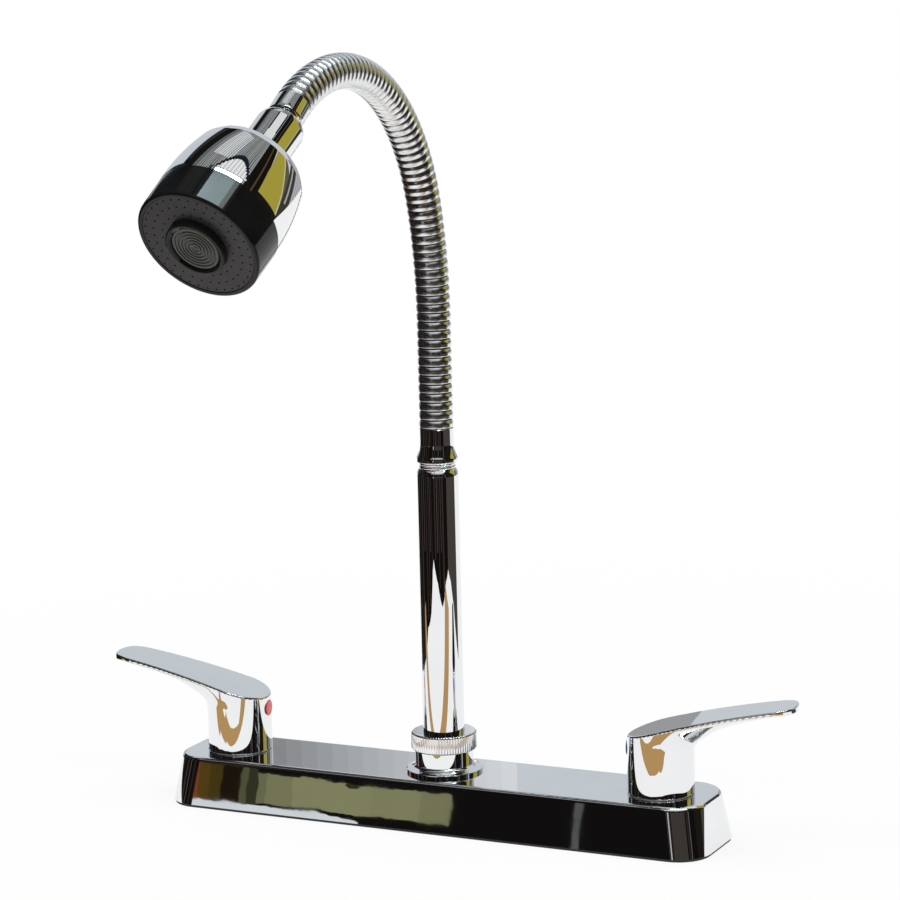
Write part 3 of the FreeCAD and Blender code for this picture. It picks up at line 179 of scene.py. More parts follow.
def bulge(start, end, radius, left, steps=12):
    """Points of a round stretch from start to end, with its centre left or right of the way it goes."""
    start, end = Vector(start), Vector(end)
    centre = bulge_centre(start, end, radius, left)
    first = math.atan2(start.y - centre.y, start.x - centre.x)
    last = math.atan2(end.y - centre.y, end.x - centre.x)
    sweep = (last - first) % (2 * math.pi) if left else -((first - last) % (2 * math.pi))
    return [Vector(point) for point in arc(centre, radius, first, sweep, steps)]


def add_row(points, rows, row):
    """Adds a row of points, and their numbers to the rows."""
    rows.append(list(range(len(points), len(points) + len(row))))
    points += row


def lathe(name, outline, matrix=Matrix.Identity(4), around=96, sharp=35.0):
    """Turns a closed half outline of (radius, height) points about local Z."""
    points, rows = [], []
    for radius, height in outline:
        add_row(points, rows, [(x, y, height) for x, y in circle(radius, around if radius > 1e-6 else 1)])
    return new_piece(name, points, bridge(rows, True), matrix, sharp)


def bridge(rows, joined=False):
    """Faces between closed loops of equal length or of one point; the last may be joined to the first."""
    faces = []
    for lower, upper in zip(rows, rows[1:] + (rows[:1] if joined else [])):
        count = max(len(lower), len(upper))
        lower, upper = lower * (count // len(lower)), upper * (count // len(upper))
        for i in range(count):
            j = (i + 1) % count
            face = tuple(dict.fromkeys((lower[i], lower[j], upper[j], upper[i])))
            if len(face) > 2:
                faces.append(face)
    return faces


# Materials
class Nodes:
    """Short forms for building the node tree of a material or a world."""

    def __init__(self, owner):
        self.owner = owner
        owner.use_nodes = True
        self.tree = owner.node_tree
        self.shader = self.tree.nodes.get("Principled BSDF")
        self.place = self.add("ShaderNodeTexCoord").outputs["Object"]

    def add(self, kind, inputs=None, **settings):
        node = self.tree.nodes.new(kind)
        for key, setting in settings.items():
            setattr(node, key, setting)
        self.fill(node, inputs or {})
        return node

    def fill(self, node, inputs):
        for key, setting in inputs.items():
            node.inputs[key].default_value = setting

    def link(self, source, target):
        self.tree.links.new(source, target)

    def surface(self, source):
        self.link(source, self.tree.nodes["Material Output"].inputs["Surface"])

    def noise(self, scale, detail, stretch=None):
        node = self.add("ShaderNodeTexNoise", {"Scale": scale, "Detail": detail})
        place = self.place
        if stretch:
            mapping = self.add("ShaderNodeMapping", {"Scale": stretch})
            self.link(place, mapping.inputs["Vector"])
            place = mapping.outputs["Vector"]
        self.link(place, node.inputs["Vector"])
        return node.outputs["Fac"]

    def spread(self, source, low, high, start=0.3, end=0.7):
        """The source from start to end, stretched to low and high."""
        node = self.add("ShaderNodeMapRange",
                        {"From Min": start, "From Max": end, "To Min": low, "To Max": high})
        self.link(source, node.inputs["Value"])
        return node.outputs["Result"]

    def mix(self, factor, one, two):
        node = self.add("ShaderNodeMix", {"A": (*one, 1), "B": (*two, 1)}, data_type="RGBA")
        self.link(factor, node.inputs["Factor"])
        return node.outputs["Result"]

    def seen(self, rays):
        """One for the camera's rays and mirrored ones, nought for the light that falls on things."""
        either = self.add("ShaderNodeMath", operation="MAXIMUM")
        self.link(rays.outputs["Is Camera Ray"], either.inputs[0])
        self.link(rays.outputs["Is Glossy Ray"], either.inputs[1])
        return either.outputs[0]

    def bump(self, source, strength, distance):
        node = self.add("ShaderNodeBump", {"Strength": strength, "Distance": distance})
        self.link(source, node.inputs["Height"])
        self.link(node.outputs["Normal"], self.shader.inputs["Normal"])

    def paint(self, source, one, two):
        """Lets the colour vary from one to two with the source."""
        self.link(self.mix(self.spread(source, 0, 1), one, two), self.shader.inputs["Base Color"])

    def dull(self, source, low, high):
        """Lets the roughness vary from low to high with the source."""
        self.link(self.spread(source, low, high), self.shader.inputs["Roughness"])


CHROME = (0.86, 0.87, 0.88)


def chrome(name, low=0.004, high=0.02):
    """Polished chrome: a bright metal with faint ripples and slightly duller patches."""
    nodes = Nodes(bpy.data.materials.new(name))
    nodes.fill(nodes.shader, {"Metallic": 1})
    patches = nodes.noise(35, 4)
    nodes.paint(patches, CHROME, [0.96 * part for part in CHROME])
    nodes.dull(patches, low, high)
    nodes.bump(nodes.noise(90, 1.5), 0.006, 0.001)
    return nodes.owner


def metal(name, base, low, high):
    """Machined or drawn metal with fine lines along Z."""
    nodes = Nodes(bpy.data.materials.new(name))
    nodes.fill(nodes.shader, {"Metallic": 1})
    lines = nodes.noise(600, 3, (1, 1, 0.05))
    nodes.paint(nodes.noise(60, 4), base, [0.8 * part for part in base])
    nodes.dull(lines, low, high)
    nodes.bump(lines, 0.08, 0.0002)
    return nodes.owner


def plastic(name, base, low, high, grain=1500, depth=0.03, coat=0.0, gloss=1.5):
    """Moulded plastic or rubber with a fine grain and faint variation."""
    nodes = Nodes(bpy.data.materials.new(name))
    nodes.fill(nodes.shader, {"IOR": gloss, "Coat Weight": coat})
    patches = nodes.noise(40, 4)
    nodes.paint(patches, base, [min(1, part * 1.15 + 0.004) for part in base])
    nodes.dull(patches, low, high)
    nodes.bump(nodes.noise(grain, 2), depth, 0.0002)
    return nodes.owner


def make_materials():
    return {
        "chrome": chrome("chrome"),
        "hose_chrome": chrome("hose_chrome", low=0.22, high=0.28),
        "brass": metal("brass", (0.55, 0.40, 0.18), 0.25, 0.45),
        "copper_tube": metal("copper_tube", (0.62, 0.31, 0.18), 0.2, 0.35),
        "lock_nut": metal("lock_nut", (0.60, 0.46, 0.22), 0.25, 0.4),
        "steel": metal("steel", (0.45, 0.46, 0.47), 0.25, 0.4),
        "ceramic": plastic("ceramic", (0.85, 0.83, 0.78), 0.1, 0.2, coat=0.4),
        "black_rubber": plastic("black_rubber", (0.02, 0.02, 0.02), 0.5, 0.7, 900, 0.1),
        "white_plastic": plastic("white_plastic", (0.8, 0.8, 0.77), 0.35, 0.5),
        "hose_plastic": plastic("hose_plastic", (0.75, 0.77, 0.78), 0.3, 0.45),
        "black_plastic": plastic("black_plastic", (0.004, 0.004, 0.004), 0.04, 0.08, 1500, 0.01, gloss=1.3),
        "grey_plastic": plastic("grey_plastic", (0.014, 0.011, 0.012), 0.35, 0.45, 2500, 0.04),
        "mesh_grey": plastic("mesh_grey", (0.045, 0.05, 0.04), 0.3, 0.4),
        # Painted shade: this near-black colour stands in for the shade deep in the hose's grooves.
        "groove": metal("groove", (0.03, 0.03, 0.03), 0.5, 0.7),
        "red_dot": plastic("red_dot", (0.68, 0.03, 0.035), 0.2, 0.3, coat=0.3),
        "blue_dot": plastic("blue_dot", (0.03, 0.12, 0.45), 0.2, 0.3, coat=0.3),
    }


def dress_nodes():
    """Gives every CAD node the material of its slot."""
    slots = {part["node"]: part["material_slot"] for part in frame["record"]["subparts"]}
    for name, item in frame["nodes"].items():
        item.data.materials.clear()
        item.data.materials.append(materials[slots[name]])


# Studio
def glow(name, colour, strength=1.0):
    nodes = Nodes(bpy.data.materials.new(name))
    nodes.tree.nodes.remove(nodes.shader)
    shine = nodes.add("ShaderNodeEmission", {"Color": (*colour, 1), "Strength": strength})
    nodes.surface(shine.outputs["Emission"])
    return nodes.owner


def make_floor():
    """A floor that looks pure white from 600 mm away and takes a faint shadow near the tap."""
    reach = 4000
    corners = [(-reach, -reach, 0), (reach, -reach, 0), (reach, reach, 0), (-reach, reach, 0)]
    item = new_piece("floor", corners, [(0, 1, 2, 3)])
    nodes = Nodes(bpy.data.materials.new("floor_white"))
    nodes.fill(nodes.shader, {"Base Color": (0.9, 0.9, 0.9, 1), "Roughness": 0.9})
    length = nodes.add("ShaderNodeVectorMath", operation="LENGTH")
    nodes.link(nodes.place, length.inputs[0])
    share = nodes.add("ShaderNodeMath", operation="MULTIPLY")
    nodes.link(nodes.seen(nodes.add("ShaderNodeLightPath")), share.inputs[0])
    nodes.link(nodes.spread(length.outputs["Value"], 0.86, 1.0, 0.15, 0.6), share.inputs[1])
    blend = nodes.add("ShaderNodeMixShader")
    nodes.link(share.outputs[0], blend.inputs[0])
    nodes.link(nodes.shader.outputs[0], blend.inputs[1])
    nodes.link(nodes.add("ShaderNodeEmission", {"Strength": 1}).outputs[0], blend.inputs[2])
    nodes.surface(blend.outputs[0])
    item.data.materials.append(nodes.owner)


def make_world():
    """Plain white for the camera, dimmer for the tap's shading and greyer in its reflections."""
    nodes = Nodes(bpy.data.worlds.new("studio"))
    background = nodes.tree.nodes["Background"]
    rays = nodes.add("ShaderNodeLightPath")
    tint = nodes.mix(rays.outputs["Is Glossy Ray"], (1, 1, 1), (0.60, 0.64, 0.68))
    nodes.link(tint, background.inputs["Color"])
    nodes.link(nodes.spread(nodes.seen(rays), 0.55, 1.0, 0, 1), background.inputs["Strength"])
    bpy.context.scene.world = nodes.owner


def make_lamps():
    for name, place, size, power in (
            ("lamp_left", (-0.9, -0.9, 1.4), 0.7, 9), ("lamp_right", (1.1, -0.6, 1.2), 0.6, 6),
            ("lamp_top", (0.1, 0.3, 1.8), 1.0, 8)):
        data = bpy.data.lights.new(name, "AREA")
        data.size = size
        data.energy = power
        lamp = add_object(name, data)
        lamp.location = place
        aim = Vector((0, 0, 0.15)) - Vector(place)
        lamp.rotation_mode = "QUATERNION"
        lamp.rotation_quaternion = aim.to_track_quat("-Z", "Y")
        lamp.visible_glossy = False


# Sheets around the tap that only show in its reflections. A direction is two angles: the turn
# from the front towards the right, and the lift above level. On the fan behind the head it is the
# turn about the head's axis and the angle from that axis. A card put nearer hides those behind it.
TAN = (0.50, 0.30, 0.12)
DARK = (0.006, 0.005, 0.005)
BROWN = (0.028, 0.018, 0.013)
OLIVE = (0.40, 0.34, 0.05)
MIDDLE = (0.13, 0.14, 0.15)
BLUE_GREY = (0.34, 0.35, 0.36)
ROOM_CENTRE = Vector((0, 0, 150))
ROOM_RADIUS = 2600
FAN_CENTRE = Vector((0, 0, 40))
FAN_RADIUS = 2300
CARD_STEP = 6


def direction(turn, lift):
    return spin(turn, "Z") @ spin(-lift, "X") @ Vector((0, -1, 0))


def room_point(turn, lift, nearer=0):
    return ROOM_CENTRE + direction(turn, lift) * (ROOM_RADIUS - nearer)


def fan_point(turn, spread, nearer=0):
    """A point behind and above the head, where its chrome side looks."""
    head = head_frame() @ Matrix.Translation(FAN_CENTRE) @ spin(turn, "Z") @ spin(-spread, "Y")
    return head @ Vector((0, 0, nearer - FAN_RADIUS))


def reflector(item, colour, strength=1.0):
    item.data.materials.append(glow(item.name, colour, strength))
    item.visible_camera = False
    item.visible_diffuse = False
    item.visible_shadow = False


def patch(name, outline, colour, nearer=0, spot=room_point):
    """A reflector with straight edges between the corners of an outline given as directions."""
    corners = []
    for i, (turn, lift) in enumerate(outline):
        after = outline[(i + 1) % len(outline)]
        steps = max(1, int(max(abs(after[0] - turn), abs(after[1] - lift)) / CARD_STEP))
        corners += [(turn + (after[0] - turn) * k / steps, lift + (after[1] - lift) * k / steps)
                    for k in range(steps)]
    centre = [sum(corner[axis] for corner in corners) / len(corners) for axis in (0, 1)]
    points = [spot(*corner, nearer) for corner in corners] + [spot(*centre, nearer)]
    faces = [(i, (i + 1) % len(corners), len(corners)) for i in range(len(corners))]
    reflector(new_piece(name, points, faces), colour)


def block(name, turns, lifts, colour, nearer=0, strength=1.0, spot=room_point):
    """A reflector between two turns and two lifts."""
    wide, high = turns[1] - turns[0], lifts[1] - lifts[0]
    across, up = max(1, int(abs(wide) / CARD_STEP)), max(1, int(abs(high) / CARD_STEP))
    points = [spot(turns[0] + wide * i / across, lifts[0] + high * k / up, nearer)
              for k in range(up + 1) for i in range(across + 1)]
    row = across + 1
    corners = [k * row + i for k in range(up) for i in range(across)]
    faces = [(corner, corner + 1, corner + row + 1, corner + row) for corner in corners]
    reflector(new_piece(name, points, faces), colour, strength)


def floor_card(name, outline, colour, height=0.4):
    points = [(x, y, height) for x, y in outline]
    reflector(new_piece(name, points, [tuple(range(len(points)))]), colour)


def floor_band(name, edge, colour, height=0.3):
    """The floor out to the room's edge, beyond an edge given as (turn, distance)."""
    points = []
    for turn, reach in edge:
        points += [direction(turn, 0) * reach + UP * height, direction(turn, 0) * ROOM_RADIUS + UP * height]
    faces = [(2 * i, 2 * i + 1, 2 * i + 3, 2 * i + 2) for i in range(len(edge) - 1)]
    reflector(new_piece(name, points, faces), colour)


def make_floor_cards():
    """The deck's tan front, and the dark room mirrored in the floor in front of the tap."""
    near = ((-400, -95), (-180, -100), (-43, -120), (167, -135), (400, -150))
    far = ((400, -330), (220, -250), (105, -205), (-35, -140), (-180, -150), (-400, -190))
    floor_card("tan_strip", near + far, TAN)
    dark_edge = ((-118, 275), (-98, 282), (-76, 300), (-50, 380), (-27, 418), (-13, 530), (-7, 560),
                 (13, 497), (36, 433), (58, 497), (72, 531))
    floor_band("dark_floor", dark_edge, DARK)
    stripes = ((-98, 6, 300), (-80, 9, 310), (-48, 5, 400), (-34, 4, 430), (-16, 3, 540), (2, 6, 560),
               (24, 4, 480), (44, 8, 470))
    for i, (turn, width, start) in enumerate(stripes):
        floor_band("floor_stripe_%d" % i, ((turn, start), (turn + width, start)), (0.04, 0.027, 0.02), 0.45)
    for i, (turn, width) in enumerate(((-60, 1.2), (-24, 1), (16, 1.5), (36, 1))):
        floor_band("floor_line_%d" % i, ((turn, 580), (turn + width, 580)), (0.16, 0.15, 0.14), 0.5)
    brown_edge = ((72, 531), (86, 497), (101, 433), (118, 330), (128, 300))
    floor_band("brown_floor", brown_edge, (0.06, 0.052, 0.044))


def make_room_cards():
    """The dark room in front, its ceiling, and the lit wall behind that the cover's top shows."""
    block("dark_room", (-116, 100), (-4, 66), DARK)
    block("dark_side", (-140, -116), (38, 64), (0.03, 0.03, 0.03))
    block("ceiling", (-180, 180), (54, 90), (0.72, 0.73, 0.74), 40)
    block("ceiling_left", (-116, -15), (44, 54), (0.36, 0.36, 0.36), 40)
    block("ceiling_right", (-15, 100), (44, 54), (0.85, 0.86, 0.87), 40)
    block("ceiling_low", (-15, 100), (33, 44), (0.42, 0.42, 0.42), 40)
    width = 0.42
    for i in range(20):
        turn = -147.5 - width * i
        shade = 0.15 + 0.03 * i
        colour = (shade, 1.03 * shade, 1.06 * shade)
        block("back_%d" % i, (turn - width, turn), (10.5, 14.2), colour)
    block("brown_side", (100, 146), (-4, 34), (0.12, 0.11, 0.055))
    stripes = ((-98, 6), (-80, 9), (-48, 6), (-34, 4), (8, 7), (26, 5), (46, 4), (60, 6))
    for i, (turn, width) in enumerate(stripes):
        block("brown_stripe_%d" % i, (turn, turn + width), (-4, 52), BROWN, 40)
    for i, (turn, width) in enumerate(((-112, 2), (-62, 1.5), (-3, 0.8), (33, 1.2), (68, 2))):
        block("grey_stripe_%d" % i, (turn, turn + width), (-4, 30), MIDDLE, 60)


def make_front_view():
    """What the cover's flat front shows: a lit sheet far ahead, with darker things at its sides."""
    strips = ((-36, (0.03, 0.02, 0.014)), (-31.3, (0.22, 0.05, 0.02)), (-31.12, (0.09, 0.052, 0.008)),
              (-30.8, (0.06, 0.04, 0.008)), (-30.5, (0.012, 0.008, 0.004)), (-29.98, (0.09, 0.09, 0.045)),
              (-29.8, (0.035, 0.035, 0.018)), (-29.55, (0.15, 0.155, 0.08)), (-29.3, (0.20, 0.205, 0.105)),
              (-28.6, (0.24, 0.245, 0.125)), (-26.5, (0.23, 0.235, 0.12)), (-25.2, (0.20, 0.205, 0.105)))
    sheet_end = -24.38
    for i, (turn, colour) in enumerate(strips):
        after = strips[i + 1][0] if i + 1 < len(strips) else sheet_end
        low, high = (-2.70, -1.90) if turn > -29.7 else (-2.78, -1.80)
        block("sheet_%d" % i, (turn, after), (low, high), colour, 80)
    blob = ((-27.3, -1.95), (-27.1, -2.06), (-26.9, -2.03), (-26.8, -1.94), (-27.1, -1.9))
    patch("sheet_blob", blob, (0.03, 0.03, 0.012), 100)
    wedge = ((-31.3, -2.79), (-31.3, -3.4), (-26.8, -3.4), (-26.8, -2.88), (-28.1, -2.79))
    patch("sheet_wedge", wedge, (0.70, 0.74, 0.76), 100)
    block("far_right_line", (-21.1, -20.9), (-3.4, 2), (0.10, 0.10, 0.10), 80)
    block("corner_line", (1, 5), (-3.4, 7), (0.5, 0.5, 0.5), 80)
    block("corner_brown", (12, 56), (-3.4, 9), (0.05, 0.042, 0.036), 80)


def make_fan():
    """What the head's rounded chrome side shows, turn by turn about its axis."""
    def fan(name, turns, spreads, colour, nearer=0, strength=1.0):
        block("fan_" + name, turns, spreads, colour, nearer, strength, fan_point)

    olive = ((-32, 53), (18, 53), (19, 40), (15, 22), (-2, 22), (-12, 28), (-28, 46))
    patch("fan_olive", olive, OLIVE, 0, fan_point)
    olive_rim = ((-35, 53), (-32, 53), (-28, 46), (-12, 28), (-2, 22), (-4, 21), (-14, 27), (-30, 45))
    patch("fan_olive_rim", olive_rim, (0.6, 0.58, 0.42), 0, fan_point)
    fan("umber", (-57, -33), (20, 53), (0.045, 0.045, 0.035), -20)
    fan("umber_light", (-46, -41), (26, 46), (0.40, 0.40, 0.38))
    fan("grey", (-105, -57), (20, 53), BLUE_GREY, -20)
    fan("grey_low", (-130, -105), (42, 53), BLUE_GREY, -20)
    fan("low_right", (-150, 44), (53, 84), (0.012, 0.010, 0.008), -20)
    fan("low_left", (97, 200), (53, 84), (0.02, 0.025, 0.03), -20)
    for i in range(10):
        turn = -126 + 7 * i
        low = 42 if i < 3 else 24
        fan("grey_line_%d" % i, (turn, turn + 2), (low, 53), (0.62, 0.63, 0.64))
    fan("black", (18, 45), (14, 62), (0.008, 0.007, 0.005), -20)
    fan("black_line", (28, 31), (18, 58), (0.09, 0.06, 0.03))
    fan("mist", (45, 140), (14, 62), (0.13, 0.14, 0.14), -20)
    for i in range(24):
        turn = 46 + 3.6 * i + 0.8 * math.sin(5.0 * i)
        fan("line_%d" % i, (turn, turn + 1.3), (16, 60), (0.42, 0.44, 0.43), -10)
    for i in range(9):
        turn = 88 + 4.2 * i
        fan("bright_%d" % i, (turn, turn + 2.4), (26, 46), (0.75, 0.77, 0.78))
    fan("edge", (140, 157), (24, 62), (0.008, 0.008, 0.008))
    width = 3.2
    for i in range(22):
        turn = 38 + width * i
        low = 43.4 + 9.8 * ((turn - 70) / 27) ** 2
        fan("arch_%d" % i, (turn, turn + width), (low - 3.4, 53.2), (0.010, 0.018, 0.026), 30)
        if low < 53:
            shade = (0.92, 0.66)[i % 2]
            fan("lamp_%d" % i, (turn, turn + width), (low, 53.2), (shade, shade, shade), 60)
    fan("ring_lamp", (58, 98), (53.9, 58), (0.75, 0.95, 1.0), 60, 15.0)
    fan("ring_glow", (50, 58), (53.9, 58), (0.70, 0.85, 0.75), 60, 9.0)


# A smooth mesh from a signed distance, for the levers and the rocker
def net(name, field, low, high, step, matrix):
    """Mesh of the surface where field(x, y, z) is zero, its points and normals exact."""
    counts = [int(math.ceil((high[i] - low[i]) / step)) + 1 for i in range(3)]
    lines = [low[i] + step * np.arange(counts[i]) for i in range(3)]
    grid = np.stack(np.meshgrid(*lines, indexing="ij"), axis=-1)
    values = field(grid[..., 0], grid[..., 1], grid[..., 2])
    inside = values < 0

    def part(array, corner):
        return array[tuple(slice(first, first + count - 1) for first, count in zip(corner, counts))]

    total = np.zeros([count - 1 for count in counts] + [3])
    number = np.zeros([count - 1 for count in counts])
    for corner in itertools.product((0, 1), repeat=3):
        for axis in range(3):
            if corner[axis]:
                continue
            other = list(corner)
            other[axis] = 1
            one, two = part(values, corner), part(values, other)
            crossed = (one < 0) != (two < 0)
            share = np.where(crossed, one / np.where(crossed, one - two, 1), 0)
            point = part(grid, corner).copy()
            point[..., axis] += share * step
            total += np.where(crossed[..., None], point, 0)
            number += crossed
    active = number > 0
    index = np.full(active.shape, -1)
    index[active] = np.arange(active.sum())
    points = total[active] / number[active][:, None]
    corrections = 8
    for _ in range(corrections):
        slope = gradient(field, points)
        value = field(*points.T)
        move = value / np.maximum((slope ** 2).sum(axis=1), 0.1)
        points -= slope * np.clip(move, -0.5 * step, 0.5 * step)[:, None]
    faces = []
    for axis in range(3):
        second, third = (axis + 1) % 3, (axis + 2) % 3
        here, there = [slice(1, -1)] * 3, [slice(1, -1)] * 3
        here[axis], there[axis] = slice(0, -1), slice(1, None)
        one, two = inside[tuple(here)], inside[tuple(there)]
        spots = np.argwhere(one != two)
        flips = one[tuple(spots.T)]
        for spot, forward in zip(spots, flips):
            cell = list(spot)
            cell[second] += 1
            cell[third] += 1
            loop = []
            for back_second, back_third in ((1, 1), (0, 1), (0, 0), (1, 0)):
                at = list(cell)
                at[second] -= back_second
                at[third] -= back_third
                loop.append(int(index[tuple(at)]))
            faces.append(loop if forward else loop[::-1])
    normals = gradient(field, points)
    normals /= np.linalg.norm(normals, axis=1)[:, None]
    turn = np.array(matrix.to_3x3())
    placed = (points @ turn.T + np.array(matrix.translation)) * MM
    mesh = bpy.data.meshes.new(name)
    mesh.from_pydata(placed.tolist(), [], faces)
    for face in mesh.polygons:
        face.use_smooth = True
    mesh.normals_split_custom_set_from_vertices((normals @ turn.T).tolist())
    return add_object(name, mesh)


def gradient(field, points, reach=0.01):
    """Slope of the field at each point, from its values a short reach away."""
    slope = np.zeros(points.shape)
    for axis in range(3):
        ahead, behind = points.copy(), points.copy()
        ahead[:, axis] += reach
        behind[:, axis] -= reach
        slope[:, axis] = (field(*ahead.T) - field(*behind.T)) / (2 * reach)
    return slope


def round_and(one, two, radius):
    """Both at once, with the edge between them rounded."""
    corner = np.hypot(np.maximum(radius + one, 0), np.maximum(radius + two, 0))
    return np.minimum(-radius, np.maximum(one, two)) + corner


def round_or(one, two, radius):
    """Either of two, with a fillet where they meet."""
    corner = np.hypot(np.maximum(radius - one, 0), np.maximum(radius - two, 0))
    return np.maximum(radius, np.minimum(one, two)) - corner


# Base
COVER = {"length": 256.4, "width": 51.0, "corner": 14.5, "low": 1.2, "top": 22.2, "taper": 3.5, "edge": 2.0,
         "wall": 1.8}
HANDLE_REACH = 101.6
HANDLE_HOLE = 10.9
SPOUT_HOLE = 11.6


def plan_loop(inset, corner, height, steps=20):
    """Points of a rounded rectangle, from the cover's foot plan moved inwards.

    A point beside each end of the corners keeps the flat sides' shading flat."""
    beside = 0.3
    half_long = 0.5 * COVER["length"] - inset
    half_wide = 0.5 * COVER["width"] - inset
    loop = []
    for i, (right, front) in enumerate(((1, 1), (-1, 1), (-1, -1), (1, -1))):
        centre = (right * (half_long - corner), front * (half_wide - corner))
        turned = arc(centre, corner, math.radians(90 * i), math.radians(90), steps)
        along = ((0, -beside * front), (-beside * right, 0))
        before, after = along if i in (0, 2) else along[::-1]
        loop.append((turned[0][0] + before[0], turned[0][1] + before[1], height))
        loop += [(x, y, height) for x, y in turned]
        loop.append((turned[-1][0] + after[0], turned[-1][1] + after[1], height))
    return loop


def make_cover():
    low, top, taper, edge = COVER["low"], COVER["top"], COVER["taper"], COVER["edge"]
    line = rounded([(0, low), (taper, top, edge), (taper + 6, top), (taper + 6, low)], steps=8)
    outline = [(point.x, point.y) for point in line[:-1]]
    first, last = outline[1], outline[-2]
    beside = 0.15
    side = (Vector(first) - Vector(outline[0])).normalized() * beside
    outline.insert(1, (first[0] - side.x, first[1] - side.y))
    outline.insert(-1, (last[0] + beside, top))
    points, rows = [], []
    for inset, height in outline[:-1]:
        leaned = taper * (height - low) / (top - low)
        corner = COVER["corner"] - max(0, inset - leaned)
        add_row(points, rows, plan_loop(inset, corner, height))
    wall = COVER["wall"]
    inner_rows = []
    for inset, height in ((wall, low), (wall + taper, top - wall)):
        add_row(points, inner_rows, plan_loop(inset, COVER["corner"] - wall, height))
    faces = bridge(rows) + bridge([inner_rows[0], rows[0]]) + bridge(inner_rows[::-1])
    build = bmesh.new()
    spots = [build.verts.new(Vector(point) * MM) for point in points]
    for face in faces:
        build.faces.new([spots[i] for i in face])
    for ring, height in ((rows[-1], top), (inner_rows[-1], top - wall)):
        loops = [[spots[i] for i in ring]]
        for middle, radius in ((-HANDLE_REACH, HANDLE_HOLE), (0, SPOUT_HOLE), (HANDLE_REACH, HANDLE_HOLE)):
            hole = circle(radius, 48)
            loops.append([build.verts.new(Vector((middle + x, y, height)) * MM) for x, y in hole])
        fill_between(build, loops)
    return built_piece("cover", build, 50)


# Levers, drawn with the post on Z and the arm along X. The crown is the arc of the arm's top,
# with its centre at a lean along X; the keel is how deep the arm's middle hangs under its rim.
POST_RADIUS = 14.3
POST_FOOT = 22.5
LEVER_LENGTH = 59.2
TIP_WIDTH = 21.4
TIP_BULGE = 3.8
TIP_ROUND = 17.0
CROWN = {"height": 51.3, "radius": 450.0, "lean": 121.3}
RIM = 2.0
KEEL = ((5.92, 12.5), (15.98, 8.5), (24.86, 4.8), (39.66, 2.6), (59.8, 1.0))
BACK_LEAN = 3.0
LEVER_ROUNDS = {"tip": 4.0, "fillet": 3.0, "rim": 0.5, "top": 0.7, "foot": 0.3}
LEVER_BOX = ((-16, -16, 21), (62, 16, 66))
SWING = {"hot": 183.0, "cold": 8.0}
GLIDE = ((11.4, 22.2), (13.3, 22.2), (13.3, 22.45), (11.4, 22.45))
PLUG = {"height": 41.5, "face": POST_RADIUS + 0.3, "turn": 4, "radius": 3.7, "length": 2.6}
SEAM = {"inner": 3.72, "outer": 4.0, "length": 2.0, "back": 0.62}


def hermite(value, knots):
    """Smooth curve through (place, size) knots."""
    places = np.array([knot[0] for knot in knots])
    sizes = np.array([knot[1] for knot in knots])
    slopes = np.gradient(sizes, places)
    value = np.clip(value, places[0], places[-1])
    i = np.clip(np.searchsorted(places, value) - 1, 0, len(places) - 2)
    run = places[i + 1] - places[i]
    t = (value - places[i]) / run
    return (sizes[i] * (1 + 2 * t) * (1 - t) ** 2 + slopes[i] * run * t * (1 - t) ** 2
            + sizes[i + 1] * t ** 2 * (3 - 2 * t) + slopes[i + 1] * run * t ** 2 * (t - 1))


def lever_field(x, y, z):
    straight = LEVER_LENGTH - TIP_BULGE
    narrowing = (POST_RADIUS - 0.5 * TIP_WIDTH) / straight
    half = POST_RADIUS - narrowing * x
    side = (np.abs(y) - half) / math.hypot(1, narrowing)
    centre = straight - math.sqrt(TIP_ROUND ** 2 - (0.5 * TIP_WIDTH) ** 2)
    tip = np.hypot(np.maximum(x - centre, 0), y) - TIP_ROUND
    from_axis = np.hypot(x, y)
    arm = np.maximum(round_and(side, tip, LEVER_ROUNDS["tip"]), -x)
    plan = np.minimum(from_axis - POST_RADIUS, arm)
    radius, lean = CROWN["radius"], CROWN["lean"]
    base = CROWN["height"] - math.sqrt(radius ** 2 - lean ** 2)
    top = np.hypot(x - lean, z - base) - radius
    crown = base + np.sqrt(radius ** 2 - (lean - x) ** 2)
    keel = hermite(x, KEEL)
    under = crown - RIM - keel * (1 - (y / half) ** 2)
    steep = np.hypot(1, 2 * keel * y / half ** 2)
    below = (under - z) / steep
    behind = BACK_LEAN * np.clip(-x / POST_RADIUS, 0, 1)
    lower = round_or(from_axis - POST_RADIUS - behind, below, LEVER_ROUNDS["fillet"])
    body = round_and(round_and(plan, lower, LEVER_ROUNDS["rim"]), top, LEVER_ROUNDS["top"])
    return round_and(body, POST_FOOT - z, LEVER_ROUNDS["foot"])


def make_levers():
    for side, sign in (("hot", -1), ("cold", 1)):
        post = Matrix.Translation((sign * HANDLE_REACH, 0, 0))
        matrix = post @ spin(SWING[side], "Z")
        lever = net(side + "_handle_lever", lever_field, *LEVER_BOX, step=0.5, matrix=matrix)
        place(lever, side + "_handle", "chrome", side + "_lever")
        place(lathe(side + "_glide", GLIDE, post), "base", "white_plastic", side + "_glide_ring")
        face, radius, back = PLUG["face"], PLUG["radius"], PLUG["face"] - PLUG["length"]
        outline = rounded([(0, back), (radius, back), (radius, face - 0.15, 0.5), (0, face + 0.1)])
        sideways = matrix @ spin(PLUG["turn"], "Z") @ Matrix.Translation((0, 0, PLUG["height"]))
        sideways = sideways @ spin(-90, "Y")
        plug = lathe(side + "_plug", outline, sideways, around=48)
        place(plug, side + "_handle", "red_dot" if side == "hot" else "blue_dot", side + "_index_plug")
        inner, outer, start, end = SEAM["inner"], SEAM["outer"], face - SEAM["length"], face - SEAM["back"]
        outline = [(inner, start), (outer, start), (outer, end), (inner, end)]
        seam = lathe(side + "_plug_seam", outline, sideways, around=48)
        place(seam, side + "_handle", "black_rubber")


